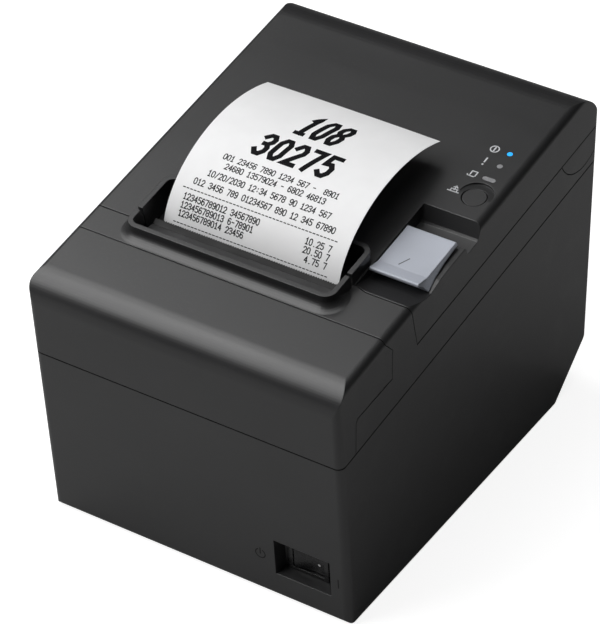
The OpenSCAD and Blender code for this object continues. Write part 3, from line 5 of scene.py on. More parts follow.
import bmesh
import bpy
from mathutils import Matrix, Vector


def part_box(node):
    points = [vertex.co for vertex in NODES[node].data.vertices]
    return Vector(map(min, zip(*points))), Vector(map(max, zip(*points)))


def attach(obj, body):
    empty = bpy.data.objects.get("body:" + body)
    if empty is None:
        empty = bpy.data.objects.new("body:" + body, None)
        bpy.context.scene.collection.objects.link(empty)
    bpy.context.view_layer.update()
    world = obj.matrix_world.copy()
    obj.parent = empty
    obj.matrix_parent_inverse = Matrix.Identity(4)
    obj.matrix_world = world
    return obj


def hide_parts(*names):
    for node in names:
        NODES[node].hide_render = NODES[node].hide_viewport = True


bl_info = {
    "name": "Receipt Printer",
    "version": (1, 0, 0),
    "blender": (4, 5, 0),
    "location": "View3D > Sidebar > Printer",
    "description": "Finishes the receipt printer's parts and sets its paper, marks, lamps and stage",
    "category": "Object",
}

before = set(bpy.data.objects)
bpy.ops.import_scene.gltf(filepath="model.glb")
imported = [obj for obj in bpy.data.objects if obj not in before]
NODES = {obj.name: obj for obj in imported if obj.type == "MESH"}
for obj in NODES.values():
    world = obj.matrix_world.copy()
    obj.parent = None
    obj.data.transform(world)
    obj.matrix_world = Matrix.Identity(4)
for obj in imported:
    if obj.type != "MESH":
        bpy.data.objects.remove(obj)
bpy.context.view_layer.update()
MM = 0.001

# The sloping top and the leaning front face, in mm and degrees
TOP_MIDDLE_Z = 134.43
TOP_SLOPE = math.radians(8.45)
FRONT_BROW_Y = -99.5
FRONT_BROW_Z = 108.2
FRONT_LEAN = math.radians(5.2)
# Middles of the case's two side seams where they start to rise, as (y, z) in mm, and their slope
LOW_SEAM = (-97.2, 83.2)
HIGH_SEAM = (-43.0, 107.65)
SEAM_SLOPE = math.radians(8.04)
# Length in m over which a seam's band of painted shade fades, and run in mm over which the high seam's band begins
SEAM_FADE = 0.00012
SEAM_BEGIN = 0.3
# Colour of the painted shade along the seams
SEAM_SHADE_BLACK = (0.001, 0.001, 0.001, 1.0)
DUST_COLOUR = (0.35, 0.34, 0.33, 1.0)
# White dot on the rocker: x and z of its middle, and its radius, in mm, and how far out in m to look for the face
ROCKER_DOT = (52.9, 21.0)
ROCKER_DOT_RADIUS = 0.62
ROCKER_LOOK_FROM = -0.12
# Height in mm at which printed marks lie over a face
MARK_LIFT = 0.03
# Stroke on the lever: its ends, width and height over the face, in mm
LEVER_STROKE = [(53.3, -29.2), (55.4, -25.0)]
LEVER_STROKE_WIDTH = 0.5
LEVER_STROKE_LIFT = 0.04
# The receipt: its middle, width and the corners of its curve, as (y, z) in mm
PAPER_MIDDLE = -2.5
PAPER_WIDTH = 79.5
PAPER_CURVE = ((-47.4, 119.2), (-46.4, 143.7), (-10.8, 161.1), (28.4, 147.6))


# ---- Places ----


def on_top(x, y, lift=0.0):
    """Point on the sloping top face at x and y, lifted along its normal."""
    height = TOP_MIDDLE_Z + y * math.tan(TOP_SLOPE)
    return Vector((x, y - lift * math.sin(TOP_SLOPE), height + lift * math.cos(TOP_SLOPE))) * MM


def on_front(x, z, lift=0.0):
    """Point on the leaning front face at x and z, lifted out of it."""
    y = FRONT_BROW_Y + (FRONT_BROW_Z - z) * math.tan(FRONT_LEAN)
    return Vector((x, y - lift * math.cos(FRONT_LEAN), z - lift * math.sin(FRONT_LEAN))) * MM


def paper_path(steps):
    """Points (y, z) along the receipt's curve, with the length reached at each."""
    a, b, c, d = (Vector(p) for p in PAPER_CURVE)
    points = []
    for i in range(steps + 1):
        t = i / steps
        s = 1 - t
        points.append(a * s**3 + b * 3 * s * s * t + c * 3 * s * t * t + d * t**3)
    lengths = [0.0]
    for before, after in zip(points, points[1:]):
        lengths.append(lengths[-1] + (after - before).length)
    return points, lengths


PATH_POINTS, PATH_LENGTHS = paper_path(400)


def on_paper(x, along, lift=0.0):
    """Point on the receipt's upper face, along its length from the slot."""
    along = min(max(along, 0.0), PATH_LENGTHS[-1] - 1e-6)
    i = next(k for k in range(len(PATH_LENGTHS) - 1) if PATH_LENGTHS[k + 1] >= along)
    step = PATH_POINTS[i + 1] - PATH_POINTS[i]
    part = (along - PATH_LENGTHS[i]) / (PATH_LENGTHS[i + 1] - PATH_LENGTHS[i])
    spot = PATH_POINTS[i] + step * part
    normal = Vector((-step.y, step.x)).normalized()
    # A slight hollow across the sheet, dying away at the slot
    hollow = 0.25 * min(1.0, along / 60) * ((x - PAPER_MIDDLE) / PAPER_WIDTH * 2) ** 2
    spot = spot + normal * (lift - hollow)
    return Vector((x, spot.x, spot.y)) * MM


# ---- Meshes ----


def new_piece(name, mesh_data, body, material):
    """A finished piece that rides on a body of the frame."""
    piece = bpy.data.objects.new(name, mesh_data)
    bpy.context.scene.collection.objects.link(piece)
    mesh_data.materials.append(material)
    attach(piece, body)
    return piece


def resample(path, step):
    """The path's corners, with points added so that no stretch is longer than step."""
    out = [Vector(path[0])]
    for a, b in zip(path, path[1:]):
        a, b = Vector(a), Vector(b)
        parts = max(1, math.ceil((b - a).length / step))
        out.extend(a.lerp(b, k / parts) for k in range(1, parts + 1))
    return out


def add_ribbon(build, path, width, place, step=0.6):
    """A flat stroke of even width along a 2-D path, laid on a surface by place(u, v)."""
    points = resample(path, step)
    closed = (points[0] - points[-1]).length < 1e-6 and len(points) > 3
    count = len(points)
    rows = []
    for i, point in enumerate(points):
        before = points[i - 1] if i else (points[-2] if closed else points[0])
        after = points[i + 1] if i < count - 1 else (points[1] if closed else points[-1])
        run_in = (point - before).normalized() if (point - before).length else (after - point).normalized()
        run_out = (after - point).normalized() if (after - point).length else run_in
        along = (run_in + run_out).normalized() if (run_in + run_out).length > 1e-6 else run_in
        across = Vector((-along.y, along.x))
        spread = width / 2 / max(0.45, across.dot(Vector((-run_in.y, run_in.x))))
        square = along * width / 2 * (0 if closed else (-1 if i == 0 else (1 if i == count - 1 else 0)))
        rows.append([build.verts.new(place(*(point + square + across * side * spread))) for side in (-1, 1)])
    for a, b in zip(rows, rows[1:]):
        build.faces.new((a[0], b[0], b[1], a[1]))


def add_disc(build, centre, radius, place, steps=24):
    """A flat round dot laid on a surface by place(u, v)."""
    ring = []
    for i in range(steps):
        turn = 2 * math.pi * i / steps
        ring.append(build.verts.new(place(centre[0] + radius * math.cos(turn), centre[1] + radius * math.sin(turn))))
    build.faces.new(ring)


def arc(centre, radius, start, end, steps=20):
    """Points of an arc, in degrees from the first axis."""
    return [
        (
            centre[0] + radius * math.cos(math.radians(start + (end - start) * i / steps)),
            centre[1] + radius * math.sin(math.radians(start + (end - start) * i / steps)),
        )
        for i in range(steps + 1)
    ]


def finished_mesh(name, build):
    mesh_data = bpy.data.meshes.new(name)
    build.to_mesh(mesh_data)
    build.free()
    mesh_data.shade_smooth()
    return mesh_data


# Strokes of the figures, in a box 1 wide and 2 high
FIGURES = {
    "0": [[(0.3, 0), (0, 0.4), (0, 1.6), (0.3, 2), (0.7, 2), (1, 1.6), (1, 0.4), (0.7, 0), (0.3, 0)]],
    "1": [[(0.2, 1.6), (0.55, 2), (0.55, 0)], [(0.2, 0), (0.9, 0)]],
    "2": [[(0, 1.6), (0.3, 2), (0.7, 2), (1, 1.6), (1, 1.25), (0, 0), (1, 0)]],
    "3": [[(0, 1.7), (0.3, 2), (0.7, 2), (1, 1.65), (1, 1.35), (0.7, 1.05), (0.4, 1.05)],
          [(0.7, 1.05), (1, 0.7), (1, 0.35), (0.7, 0), (0.3, 0), (0, 0.3)]],
    "4": [[(0.75, 0), (0.75, 2), (0, 0.6), (1, 0.6)]],
    "5": [[(0.95, 2), (0.1, 2), (0.05, 1.15), (0.65, 1.2), (1, 0.85), (1, 0.35), (0.7, 0), (0.3, 0), (0, 0.25)]],
    "6": [[(0.9, 1.8), (0.65, 2), (0.35, 2), (0, 1.5), (0, 0.4), (0.3, 0), (0.7, 0), (1, 0.4), (1, 0.8),
           (0.7, 1.15), (0.3, 1.15), (0, 0.8)]],
    "7": [[(0, 2), (1, 2), (0.4, 0)]],
    "8": [[(0.3, 1.05), (0, 1.35), (0, 1.7), (0.3, 2), (0.7, 2), (1, 1.7), (1, 1.35), (0.7, 1.05), (0.3, 1.05),
           (0, 0.75), (0, 0.35), (0.3, 0), (0.7, 0), (1, 0.35), (1, 0.75), (0.7, 1.05)]],
    "9": [[(0.1, 0.2), (0.35, 0), (0.65, 0), (1, 0.5), (1, 1.6), (0.7, 2), (0.3, 2), (0, 1.6), (0, 1.2),
           (0.3, 0.85), (0.7, 0.85), (1, 1.2)]],
    "-": [[(0.15, 1), (0.85, 1)]],
    "/": [[(0.1, 0), (0.9, 2)]],
    ":": [[(0.5, 0.45), (0.5, 0.6)], [(0.5, 1.4), (0.5, 1.55)]],
    ".": [[(0.45, 0.02), (0.55, 0.02)]],
    " ": [],
}
# Area lamps: name, place, width and height in m, and the setting that gives the power
STAGE_LAMPS = (
    ("key_lamp", (-0.639, -0.71, 1.114), 0.8, 1.25, "key_power"),
    ("side_lamp", (-0.847, 0.149, 1.319), 1.0, 1.0, "side_power"),
    ("top_lamp", (0.0, -0.049, 1.489), 0.8, 0.8, "top_power"),
)
LAMP_TARGET = (0, 0, 0.09)
CAMERA_SHIFT = (-0.0324, -0.0090)
# Spacing of the figures: share of their width, and of the pen's, which is more for a bold pen (wider than 1 mm)
FIGURE_PITCH = 1.12
BOLD_PEN = 1
BOLD_PEN_GAP = 1.15
PEN_GAP = 0.9
# Rows of the printed figures: (text, left x, height along the paper, figure width, figure height, pen, slant)
PRINT_ROWS = (
    ("108", -10.4, 61.3, 3.7, 13.5, 2.3, 0.2),
    ("30275", -19.7, 44.4, 4.12, 10.8, 2.25, 0.2),
    ("001 23456 7890 1234 567 -  8901", -28.3, 37.1, 1.17, 2.4, 0.42, 0.0),
    ("24680 13579024 - 6802 46813", -25.4, 33.2, 1.17, 2.4, 0.42, 0.0),
    ("10/20/2030 12:34 5678 90 1234 567", -30.6, 28.4, 1.17, 2.4, 0.42, 0.0),
    ("012 3456 789 01234567 890 12 345 67890", -34.6, 23.6, 1.17, 2.4, 0.42, 0.0),
    ("-" * 43, -38.1, 20.0, 1.14, 2.4, 0.4, 0.0),
    ("123456789012 34567890", -36.4, 16.8, 1.15, 2.4, 0.42, 0.0),
    ("10.25 7", 19.2, 16.5, 1.17, 2.4, 0.42, 0.0),
    ("123456789013 6-78901", -36.4, 13.3, 1.15, 2.4, 0.42, 0.0),
    ("20.50 7", 19.4, 13.1, 1.17, 2.4, 0.42, 0.0),
    ("123456789014 23456", -36.5, 9.9, 1.15, 2.4, 0.42, 0.0),
    ("4.75 7", 20.9, 9.7, 1.17, 2.4, 0.42, 0.0),
    ("-" * 43, -38.1, 5.9, 1.14, 2.4, 0.4, 0.0),
)


# ---- Shader nodes ----


class Tree:
    """Adds shader nodes to one tree and joins them up."""

    def __init__(self, tree):
        self.tree = tree

    def add(self, kind, inputs=None, **settings):
        made = self.tree.nodes.new(kind)
        for name, value in settings.items():
            setattr(made, name, value)
        for name, value in (inputs or {}).items():
            self.feed(made.inputs[name], value)
        return made

    def feed(self, socket, value):
        if isinstance(value, bpy.types.NodeSocket):
            self.tree.links.new(value, socket)
        else:
            socket.default_value = value

    def math(self, operation, a, b=0.0, clamp=False):
        return self.add("ShaderNodeMath", {0: a, 1: b}, operation=operation, use_clamp=clamp).outputs[0]

    def spread(self, value, low, high, to_low=0.0, to_high=1.0):
        made = self.add("ShaderNodeMapRange", {0: value, 1: low, 2: high, 3: to_low, 4: to_high})
        return made.outputs[0]

    def mix(self, mask, a, b, blend="MIX"):
        made = self.add("ShaderNodeMix", data_type="RGBA", blend_type=blend)
        for index, value in ((0, mask), (6, a), (7, b)):
            self.feed(made.inputs[index], value)
        return made.outputs[2]

    def group(self, group, **values):
        made = self.add("ShaderNodeGroup", node_tree=group)
        for name, value in values.items():
            self.feed(made.inputs[name.replace("_", " ")], value)
        return made.outputs

    def place(self, stretch=(1.0, 1.0, 1.0)):
        """The piece's own coordinates, stretched."""
        spot = self.add("ShaderNodeTexCoord").outputs["Object"]
        return self.add("ShaderNodeVectorMath", {0: spot, 1: stretch}, operation="MULTIPLY").outputs[0]

    def noise(self, spot, scale, detail=3.0, roughness=0.55):
        inputs = {"Vector": spot, "Scale": scale, "Detail": detail, "Roughness": roughness}
        return self.add("ShaderNodeTexNoise", inputs).outputs[0]


def effect(name, inputs, outputs, fill):
    """A node group built once: inputs as name to value, outputs as name to socket kind."""
    group = bpy.data.node_groups.get(name)
    if group:
        return group
    group = bpy.data.node_groups.new(name, "ShaderNodeTree")
    for label, value in inputs.items():
        group.interface.new_socket(label, in_out="INPUT", socket_type="NodeSocketFloat").default_value = value
    for label, kind in outputs.items():
        group.interface.new_socket(label, in_out="OUTPUT", socket_type="NodeSocket" + kind)
    tree = Tree(group)
    values = tree.add("NodeGroupInput").outputs
    results = fill(tree, values)
    end = tree.add("NodeGroupOutput")
    for label, value in results.items():
        tree.feed(end.inputs[label], value)
    return group


def spark_grain():
    """The fine pebbled texture that a spark-eroded mould leaves."""

    def fill(tree, values):
        scale = tree.math("DIVIDE", 1.0, values["Size"])
        spot = tree.place()
        fine = tree.noise(spot, scale, 2.0, 0.6)
        inputs = {"Vector": spot, "Scale": tree.math("MULTIPLY", scale, 0.8)}
        cells = tree.add("ShaderNodeTexVoronoi", inputs, feature="SMOOTH_F1").outputs["Distance"]
        height = tree.math("ADD", tree.math("MULTIPLY", fine, 0.6), tree.math("MULTIPLY", cells, 0.5))
        return {"Height": height, "Fleck": tree.spread(fine, 0.35, 0.7)}

    return effect("Spark grain", {"Size": 0.0005}, {"Height": "Float", "Fleck": "Float"}, fill)


def handling():
    """Broad, soft differences where hands and cloths have been."""

    def fill(tree, values):
        spot = tree.place()
        broad = tree.noise(spot, tree.math("DIVIDE", 1.0, values["Size"]), 3.0, 0.5)
        smear = tree.noise(tree.place((9.0, 60.0, 60.0)), 1.0, 4.0, 0.6)
        return {
            "Broad": tree.spread(broad, 0.3, 0.7),
            "Smear": tree.spread(smear, 0.52, 0.78),
        }

    return effect("Handling", {"Size": 0.05}, {"Broad": "Float", "Smear": "Float"}, fill)


def soft_edges():
    """Rounded normals at edges, and a mask of those edges."""

    def fill(tree, values):
        rounded = tree.add("ShaderNodeBevel", {"Radius": values["Radius"]}, samples=6).outputs[0]
        flat = tree.add("ShaderNodeNewGeometry").outputs["Normal"]
        agree = tree.add("ShaderNodeVectorMath", {0: rounded, 1: flat}, operation="DOT_PRODUCT").outputs["Value"]
        spot = tree.place()
        patchy = tree.spread(tree.noise(spot, 240.0, 3.0), 0.35, 0.65, 0.4, 1.0)
        mask = tree.math("MULTIPLY", tree.spread(agree, 0.995, 0.82), patchy, clamp=True)
        return {"Mask": mask, "Normal": rounded}

    return effect("Soft edges", {"Radius": 0.0003}, {"Mask": "Float", "Normal": "Vector"}, fill)


def settled_dust():
    """Fine dust that lies on faces that look up."""

    def fill(tree, values):
        up = tree.add("ShaderNodeSeparateXYZ", {0: tree.add("ShaderNodeNewGeometry").outputs["Normal"]}).outputs[2]
        specks = tree.spread(tree.noise(tree.place(), 900.0, 4.0, 0.7), 0.52, 0.72)
        drifts = tree.spread(tree.noise(tree.place(), 30.0, 2.0), 0.35, 0.75)
        lying = tree.math("MULTIPLY", tree.spread(up, 0.55, 0.95), tree.math("MULTIPLY", specks, drifts))
        return {"Mask": tree.math("MULTIPLY", lying, values["Amount"], clamp=True)}

    return effect("Settled dust", {"Amount": 0.2}, {"Mask": "Float"}, fill)


def seam_shade():
    """A mask of painted shade: the narrow bands where the case's parts meet, which light hardly reaches."""

    def fill(tree, values):
        spot = tree.add("ShaderNodeSeparateXYZ", {0: tree.add("ShaderNodeTexCoord").outputs["Object"]}).outputs
        bands = []
        for y, z in (LOW_SEAM, HIGH_SEAM):
            run = tree.math("MAXIMUM", tree.math("SUBTRACT", spot[1], y * MM), 0.0)
            line = tree.math("ADD", tree.math("MULTIPLY", run, math.tan(SEAM_SLOPE)), z * MM)
            off = tree.math("ABSOLUTE", tree.math("SUBTRACT", spot[2], line))
            reach = tree.math("SUBTRACT", off, values["Reach"])
            bands.append(tree.spread(reach, 0.0, -SEAM_FADE))
        begun = tree.spread(spot[1], (HIGH_SEAM[0] - SEAM_BEGIN) * MM, HIGH_SEAM[0] * MM)
        upper = tree.math("MULTIPLY", bands[1], begun, clamp=True)
        return {"Mask": tree.math("MAXIMUM", bands[0], upper, clamp=True)}

    return effect("Seam shade", {"Reach": 0.00042}, {"Mask": "Float"}, fill)


def drawn_lines():
    """Long fine lines that rolling or grinding leaves in metal, along one axis."""

    def fill(tree, values):
        spot = tree.add("ShaderNodeTexCoord").outputs["Object"]
        parts = tree.add("ShaderNodeSeparateXYZ", {0: spot}).outputs
        long_way = tree.math("MULTIPLY", parts[0], values["Along"])
        cross_y = tree.math("MULTIPLY", parts[1], values["Across"])
        cross_z = tree.math("MULTIPLY", parts[2], values["Across"])
        lines = tree.add("ShaderNodeCombineXYZ", {0: long_way, 1: cross_y, 2: cross_z}).outputs[0]
        fine = tree.noise(lines, 1.0, 4.0, 0.7)
        broad = tree.noise(spot, 60.0, 2.0)
        return {"Line": tree.spread(fine, 0.3, 0.7), "Patch": tree.spread(broad, 0.35, 0.65)}

    return effect("Drawn lines", {"Along": 30.0, "Across": 1600.0}, {"Line": "Float", "Patch": "Float"}, fill)


def paper_fibre():
    """Short felted fibres and the faint cloudiness of coated paper."""

    def fill(tree, values):
        scale = tree.math("DIVIDE", 1.0, values["Size"])
        fibres = tree.noise(tree.place((1.0, 2.6, 2.6)), scale, 5.0, 0.7)
        cloud = tree.noise(tree.place(), 90.0, 3.0)
        return {"Height": fibres, "Cloud": tree.spread(cloud, 0.3, 0.7)}

    return effect("Paper fibre", {"Size": 0.0004}, {"Height": "Float", "Cloud": "Float"}, fill)


def grey(value, warm=0.0):
    """A linear grey, leaning warm or cool."""
    return (value * (1 + warm), value, value * (1 - warm), 1.0)


def new_material(name):
    material = bpy.data.materials.new(name)
    material.use_nodes = True
    shader = material.node_tree.nodes["Principled BSDF"]
    return material, Tree(material.node_tree), shader


def moulded(name, colour, grain=0.0005, depth=0.00001, rough=(0.34, 0.42), edge=0.0003, dust=0.04, lift=1.5, gloss=0.6,
            seams=False):
    """A moulded plastic: grain, handling marks, softened edges lightened by painted highlight and wear, and a little
    dust.
    """
    material, tree, shader = new_material(name)
    shader.inputs["Specular IOR Level"].default_value = gloss
    texture = tree.group(spark_grain(), Size=grain)
    marks = tree.group(handling())
    edges = tree.group(soft_edges(), Radius=edge)
    dusty = tree.group(settled_dust(), Amount=dust)["Mask"]
    dark = [c * 0.86 for c in colour[:3]] + [1.0]
    light = [min(1.0, c * 1.12) for c in colour[:3]] + [1.0]
    # Painted highlight and wear: the edge mask lightens the base colour by lift along edges.
    worn_and_sheen = [min(1.0, c * lift + 0.004) for c in colour[:3]] + [1.0]
    base = tree.mix(marks["Broad"], dark, light)
    base = tree.mix(tree.math("MULTIPLY", texture["Fleck"], 0.25), base, light)
    base = tree.mix(edges["Mask"], base, worn_and_sheen)
    base = tree.mix(dusty, base, DUST_COLOUR)
    rough_here = tree.spread(texture["Fleck"], 0.0, 1.0, rough[0], rough[1])
    if seams:
        # Painted shade: the narrow bands along the seams are darkened to near-black in the base colour.
        shade = tree.group(seam_shade())["Mask"]
        base = tree.mix(shade, base, SEAM_SHADE_BLACK)
        rough_here = tree.math("MAXIMUM", rough_here, shade)
    rough_here = tree.math("SUBTRACT", rough_here, tree.math("MULTIPLY", marks["Smear"], 0.05))
    rough_here = tree.math("SUBTRACT", rough_here, tree.math("MULTIPLY", edges["Mask"], 0.08))
    bump = {"Height": texture["Height"], "Distance": depth, "Strength": 1.0, "Normal": edges["Normal"]}
    tree.feed(shader.inputs["Base Color"], base)
    tree.feed(shader.inputs["Roughness"], rough_here)
    tree.feed(shader.inputs["Normal"], tree.add("ShaderNodeBump", bump).outputs[0])
    return material


def metal(name, colour, rough=(0.25, 0.42), across=1600.0, along=30.0, edge=0.00015, tint=None, depth=0.000006):
    """A worked metal with fine lines, patches and edges lightened by painted highlight and wear."""
    material, tree, shader = new_material(name)
    lines = tree.group(drawn_lines(), Across=across, Along=along)
    edges = tree.group(soft_edges(), Radius=edge)
    dull = [c * 0.8 for c in colour[:3]] + [1.0]
    base = tree.mix(lines["Patch"], dull, colour)
    if tint:
        base = tree.mix(tree.math("MULTIPLY", lines["Patch"], 0.4), base, tint)
    # Painted highlight and wear: the edge mask lightens the base colour along edges.
    base = tree.mix(edges["Mask"], base, [min(1.0, c * 1.25) for c in colour[:3]] + [1.0])
    shader.inputs["Metallic"].default_value = 1.0
    bump = {"Height": lines["Line"], "Distance": depth, "Strength": 1.0, "Normal": edges["Normal"]}
    tree.feed(shader.inputs["Base Color"], base)
    tree.feed(shader.inputs["Roughness"], tree.spread(lines["Line"], 0.0, 1.0, rough[0], rough[1]))
    tree.feed(shader.inputs["Normal"], tree.add("ShaderNodeBump", bump).outputs[0])
    return material


def paper(name, colour, rings=False):
    """Coated paper. The side of a roll shows its wound turns as rings."""
    material, tree, shader = new_material(name)
    fibre = tree.group(paper_fibre())
    shade = [c * 0.965 for c in colour[:3]] + [1.0]
    base = tree.mix(fibre["Cloud"], shade, colour)
    height = fibre["Height"]
    if rings:
        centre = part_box("paper_roll")
        middle = (centre[0] + centre[1]) / 2
        spot = tree.add("ShaderNodeTexCoord").outputs["Object"]
        spot = tree.add("ShaderNodeVectorMath", {0: spot, 1: middle}, operation="SUBTRACT").outputs[0]
        spot = tree.add("ShaderNodeVectorMath", {0: spot, 1: (0, 1, 1)}, operation="MULTIPLY").outputs[0]
        radius = tree.add("ShaderNodeVectorMath", {0: spot}, operation="LENGTH").outputs["Value"]
        turns = tree.add("ShaderNodeCombineXYZ", {0: tree.math("MULTIPLY", radius, 4200.0)}).outputs[0]
        wound = tree.noise(turns, 1.0, 2.0)
        base = tree.mix(tree.spread(wound, 0.35, 0.7, 0.0, 0.5), base, [c * 0.8 for c in colour[:3]] + [1.0])
        height = tree.math("ADD", height, wound)
    bump = {"Height": height, "Distance": 0.00001, "Strength": 0.7}
    tree.feed(shader.inputs["Base Color"], base)
    tree.feed(shader.inputs["Roughness"], tree.spread(fibre["Height"], 0.3, 0.7, 0.5, 0.62))
    tree.feed(shader.inputs["Normal"], tree.add("ShaderNodeBump", bump).outputs[0])
    return material


def rubber(name, colour):
    """Ground rubber: dull, with a fine nap and a bloom on it."""
    material, tree, shader = new_material(name)
    nap = tree.group(spark_grain(), Size=0.0003)
    marks = tree.group(handling(), Size=0.012)
    base = tree.mix(marks["Broad"], colour, [c * 1.6 + 0.004 for c in colour[:3]] + [1.0])
    bump = {"Height": nap["Height"], "Distance": 0.00003, "Strength": 1.0}
    tree.feed(shader.inputs["Base Color"], base)
    tree.feed(shader.inputs["Roughness"], tree.spread(nap["Fleck"], 0.0, 1.0, 0.68, 0.82))
    tree.feed(shader.inputs["Normal"], tree.add("ShaderNodeBump", bump).outputs[0])
    return material


def circuit_board(name):
    """Solder mask over copper tracks, with bare pads."""
    material, tree, shader = new_material(name)
    grid = tree.add("ShaderNodeTexVoronoi", {"Vector": tree.place(), "Scale": 260.0}, distance="MANHATTAN")
    tracks = tree.spread(tree.math("PINGPONG", grid.outputs["Distance"], 0.22), 0.08, 0.13)
    pads = tree.add("ShaderNodeTexVoronoi", {"Vector": tree.place(), "Scale": 190.0, "Randomness": 0.55})
    bare = tree.spread(pads.outputs["Distance"], 0.17, 0.13)
    base = tree.mix(tracks, (0.012, 0.075, 0.035, 1.0), (0.02, 0.13, 0.06, 1.0))
    base = tree.mix(bare, base, (0.75, 0.72, 0.62, 1.0))
    bump = {"Height": tree.math("ADD", tracks, bare), "Distance": 0.00003, "Strength": 0.8}
    tree.feed(shader.inputs["Base Color"], base)
    tree.feed(shader.inputs["Roughness"], tree.spread(tracks, 0.0, 1.0, 0.3, 0.42))
    tree.feed(shader.inputs["Normal"], tree.add("ShaderNodeBump", bump).outputs[0])
    return material


def lamp(name, colour, glow, strength):
    """A small moulded lamp, brighter at its middle where it glows."""
    material, tree, shader = new_material(name)
    cloudy = tree.spread(tree.noise(tree.place(), 500.0, 2.0), 0.3, 0.7)
    base = tree.mix(cloudy, [c * 0.92 for c in colour[:3]] + [1.0], colour)
    tree.feed(shader.inputs["Base Color"], base)
    tree.feed(shader.inputs["Roughness"], tree.spread(cloudy, 0.0, 1.0, 0.22, 0.34))
    if glow:
        tree.feed(shader.inputs["Emission Color"], tree.mix(cloudy, [c * 0.85 for c in glow[:3]] + [1.0], glow))
        shader.inputs["Emission Strength"].default_value = strength
    return material


def ink(name, colour, rough=0.6, gloss=0.5):
    """Printed ink, slightly uneven in its cover."""
    material, tree, shader = new_material(name)
    shader.inputs["Specular IOR Level"].default_value = gloss
    patchy = tree.spread(tree.noise(tree.place(), 2600.0, 3.0), 0.3, 0.7)
    base = tree.mix(patchy, [c * 0.85 for c in colour[:3]] + [1.0], colour)
    tree.feed(shader.inputs["Base Color"], base)
    tree.feed(shader.inputs["Roughness"], tree.spread(patchy, 0.0, 1.0, rough - 0.06, rough + 0.06))
    return material


def dress(material, *names):
    """Gives the material to CAD nodes."""
    for name in names:
        slots = NODES[name].data.materials
        slots.clear()
        slots.append(material)


# ---- Settings ----


def colour_setting(name, description, default):
    return bpy.props.FloatVectorProperty(
        name=name, description=description, default=default, subtype="COLOR", size=4, min=0.0, max=1.0
    )


def length_setting(name, description, default):
    return bpy.props.FloatProperty(
        name=name, description=description, default=default, subtype="DISTANCE", unit="LENGTH", precision=5, min=0.0
    )


class PrinterFinish(bpy.types.PropertyGroup):
    """Colours and textures of the printer's parts."""

    case_colour: colour_setting("Case", "Plastic of the case and covers", (0.019, 0.019, 0.0198, 1.0))
    inner_colour: colour_setting("Inner", "Plastic of the parts inside", (0.02, 0.02, 0.0205, 1.0))
    lever_colour: colour_setting("Lever", "Plastic of the cover-open lever", (0.45, 0.475, 0.535, 1.0))
    paper_colour: colour_setting("Paper", "Coated thermal paper", (0.88, 0.88, 0.885, 1.0))
    lamp_colour: colour_setting("Power lamp", "Light of the power lamp", (0.025, 0.36, 0.85, 1.0))
    grain_size: length_setting("Grain size", "Size of the pebbles in the case's texture", 0.0005)
    grain_depth: length_setting("Grain depth", "Depth of the case's texture", 0.00001)
    edge_radius: length_setting("Edge radius", "Rounding seen on moulded edges", 0.0004)


class PrinterMarks(bpy.types.PropertyGroup):
    """Printed and engraved marks."""

    ink_colour: colour_setting("Thermal ink", "Figures printed on the receipt", (0.005, 0.005, 0.006, 1.0))
    symbol_colour: colour_setting("Symbols", "Symbols printed beside the lamps", (0.62, 0.63, 0.65, 1.0))
    engraving_colour: colour_setting("Engraving", "Symbols sunk into the front", (0.004, 0.004, 0.004, 1.0))
    symbol_pen: length_setting("Symbol pen", "Width of the symbols' strokes", 0.0005)


class PrinterStage(bpy.types.PropertyGroup):
    """The camera, lamps and floor."""

    camera_azimuth: bpy.props.FloatProperty(
        name="Azimuth", description="Turn of the camera from the front", default=math.radians(31.99), subtype="ANGLE"
    )
    camera_elevation: bpy.props.FloatProperty(
        name="Elevation", description="Height angle of the camera", default=math.radians(36.75), subtype="ANGLE"
    )
    camera_distance: length_setting("Distance", "From the camera to the point it looks at", 1.3639)
    camera_target: length_setting("Target height", "Height of the point that the camera looks at", 0.07063)
    camera_lens: bpy.props.FloatProperty(name="Lens", description="Focal length in mm", default=196.5, min=1.0)
    key_power: bpy.props.FloatProperty(
        name="Key", description="Power of the main lamp", default=12.0, unit="POWER", min=0.0
    )
    side_power: bpy.props.FloatProperty(
        name="Side", description="Power of the lamp on the left", default=8.6, unit="POWER", min=0.0
    )
    top_power: bpy.props.FloatProperty(
        name="Top", description="Power of the lamp above", default=4.4, unit="POWER", min=0.0
    )
    sky_level: bpy.props.FloatProperty(name="Sky", description="Level of the light all round", default=0.045, min=0.0)
    floor_colour: colour_setting("Floor", "The pale floor", (0.5, 0.5, 0.5, 1.0))
    floor_glow: bpy.props.FloatProperty(
        name="Floor glow", description="Level of white that only the camera sees on the floor", default=0.86, min=0.0
    )


# ---- Pieces ----


class PRINTER_OT_case(bpy.types.Operator):
    """Finishes the outer mouldings in textured charcoal plastic"""

    bl_idname = "printer.case"
    bl_label = "Case mouldings"

    def execute(self, context):
        finish = context.scene.printer_finish
        settings = dict(grain=finish.grain_size, depth=finish.grain_depth, edge=finish.edge_radius)
        case = moulded("Charcoal moulding", finish.case_colour[:], gloss=0.66, seams=True, **settings)
        dress(case, "lower_case", "upper_case", "cutter_cover", "roll_cover")
        button = moulded("Button moulding", finish.case_colour[:], grain=0.0003, depth=0.000006, gloss=0.7)
        dress(button, "feed_button")
        return {"FINISHED"}


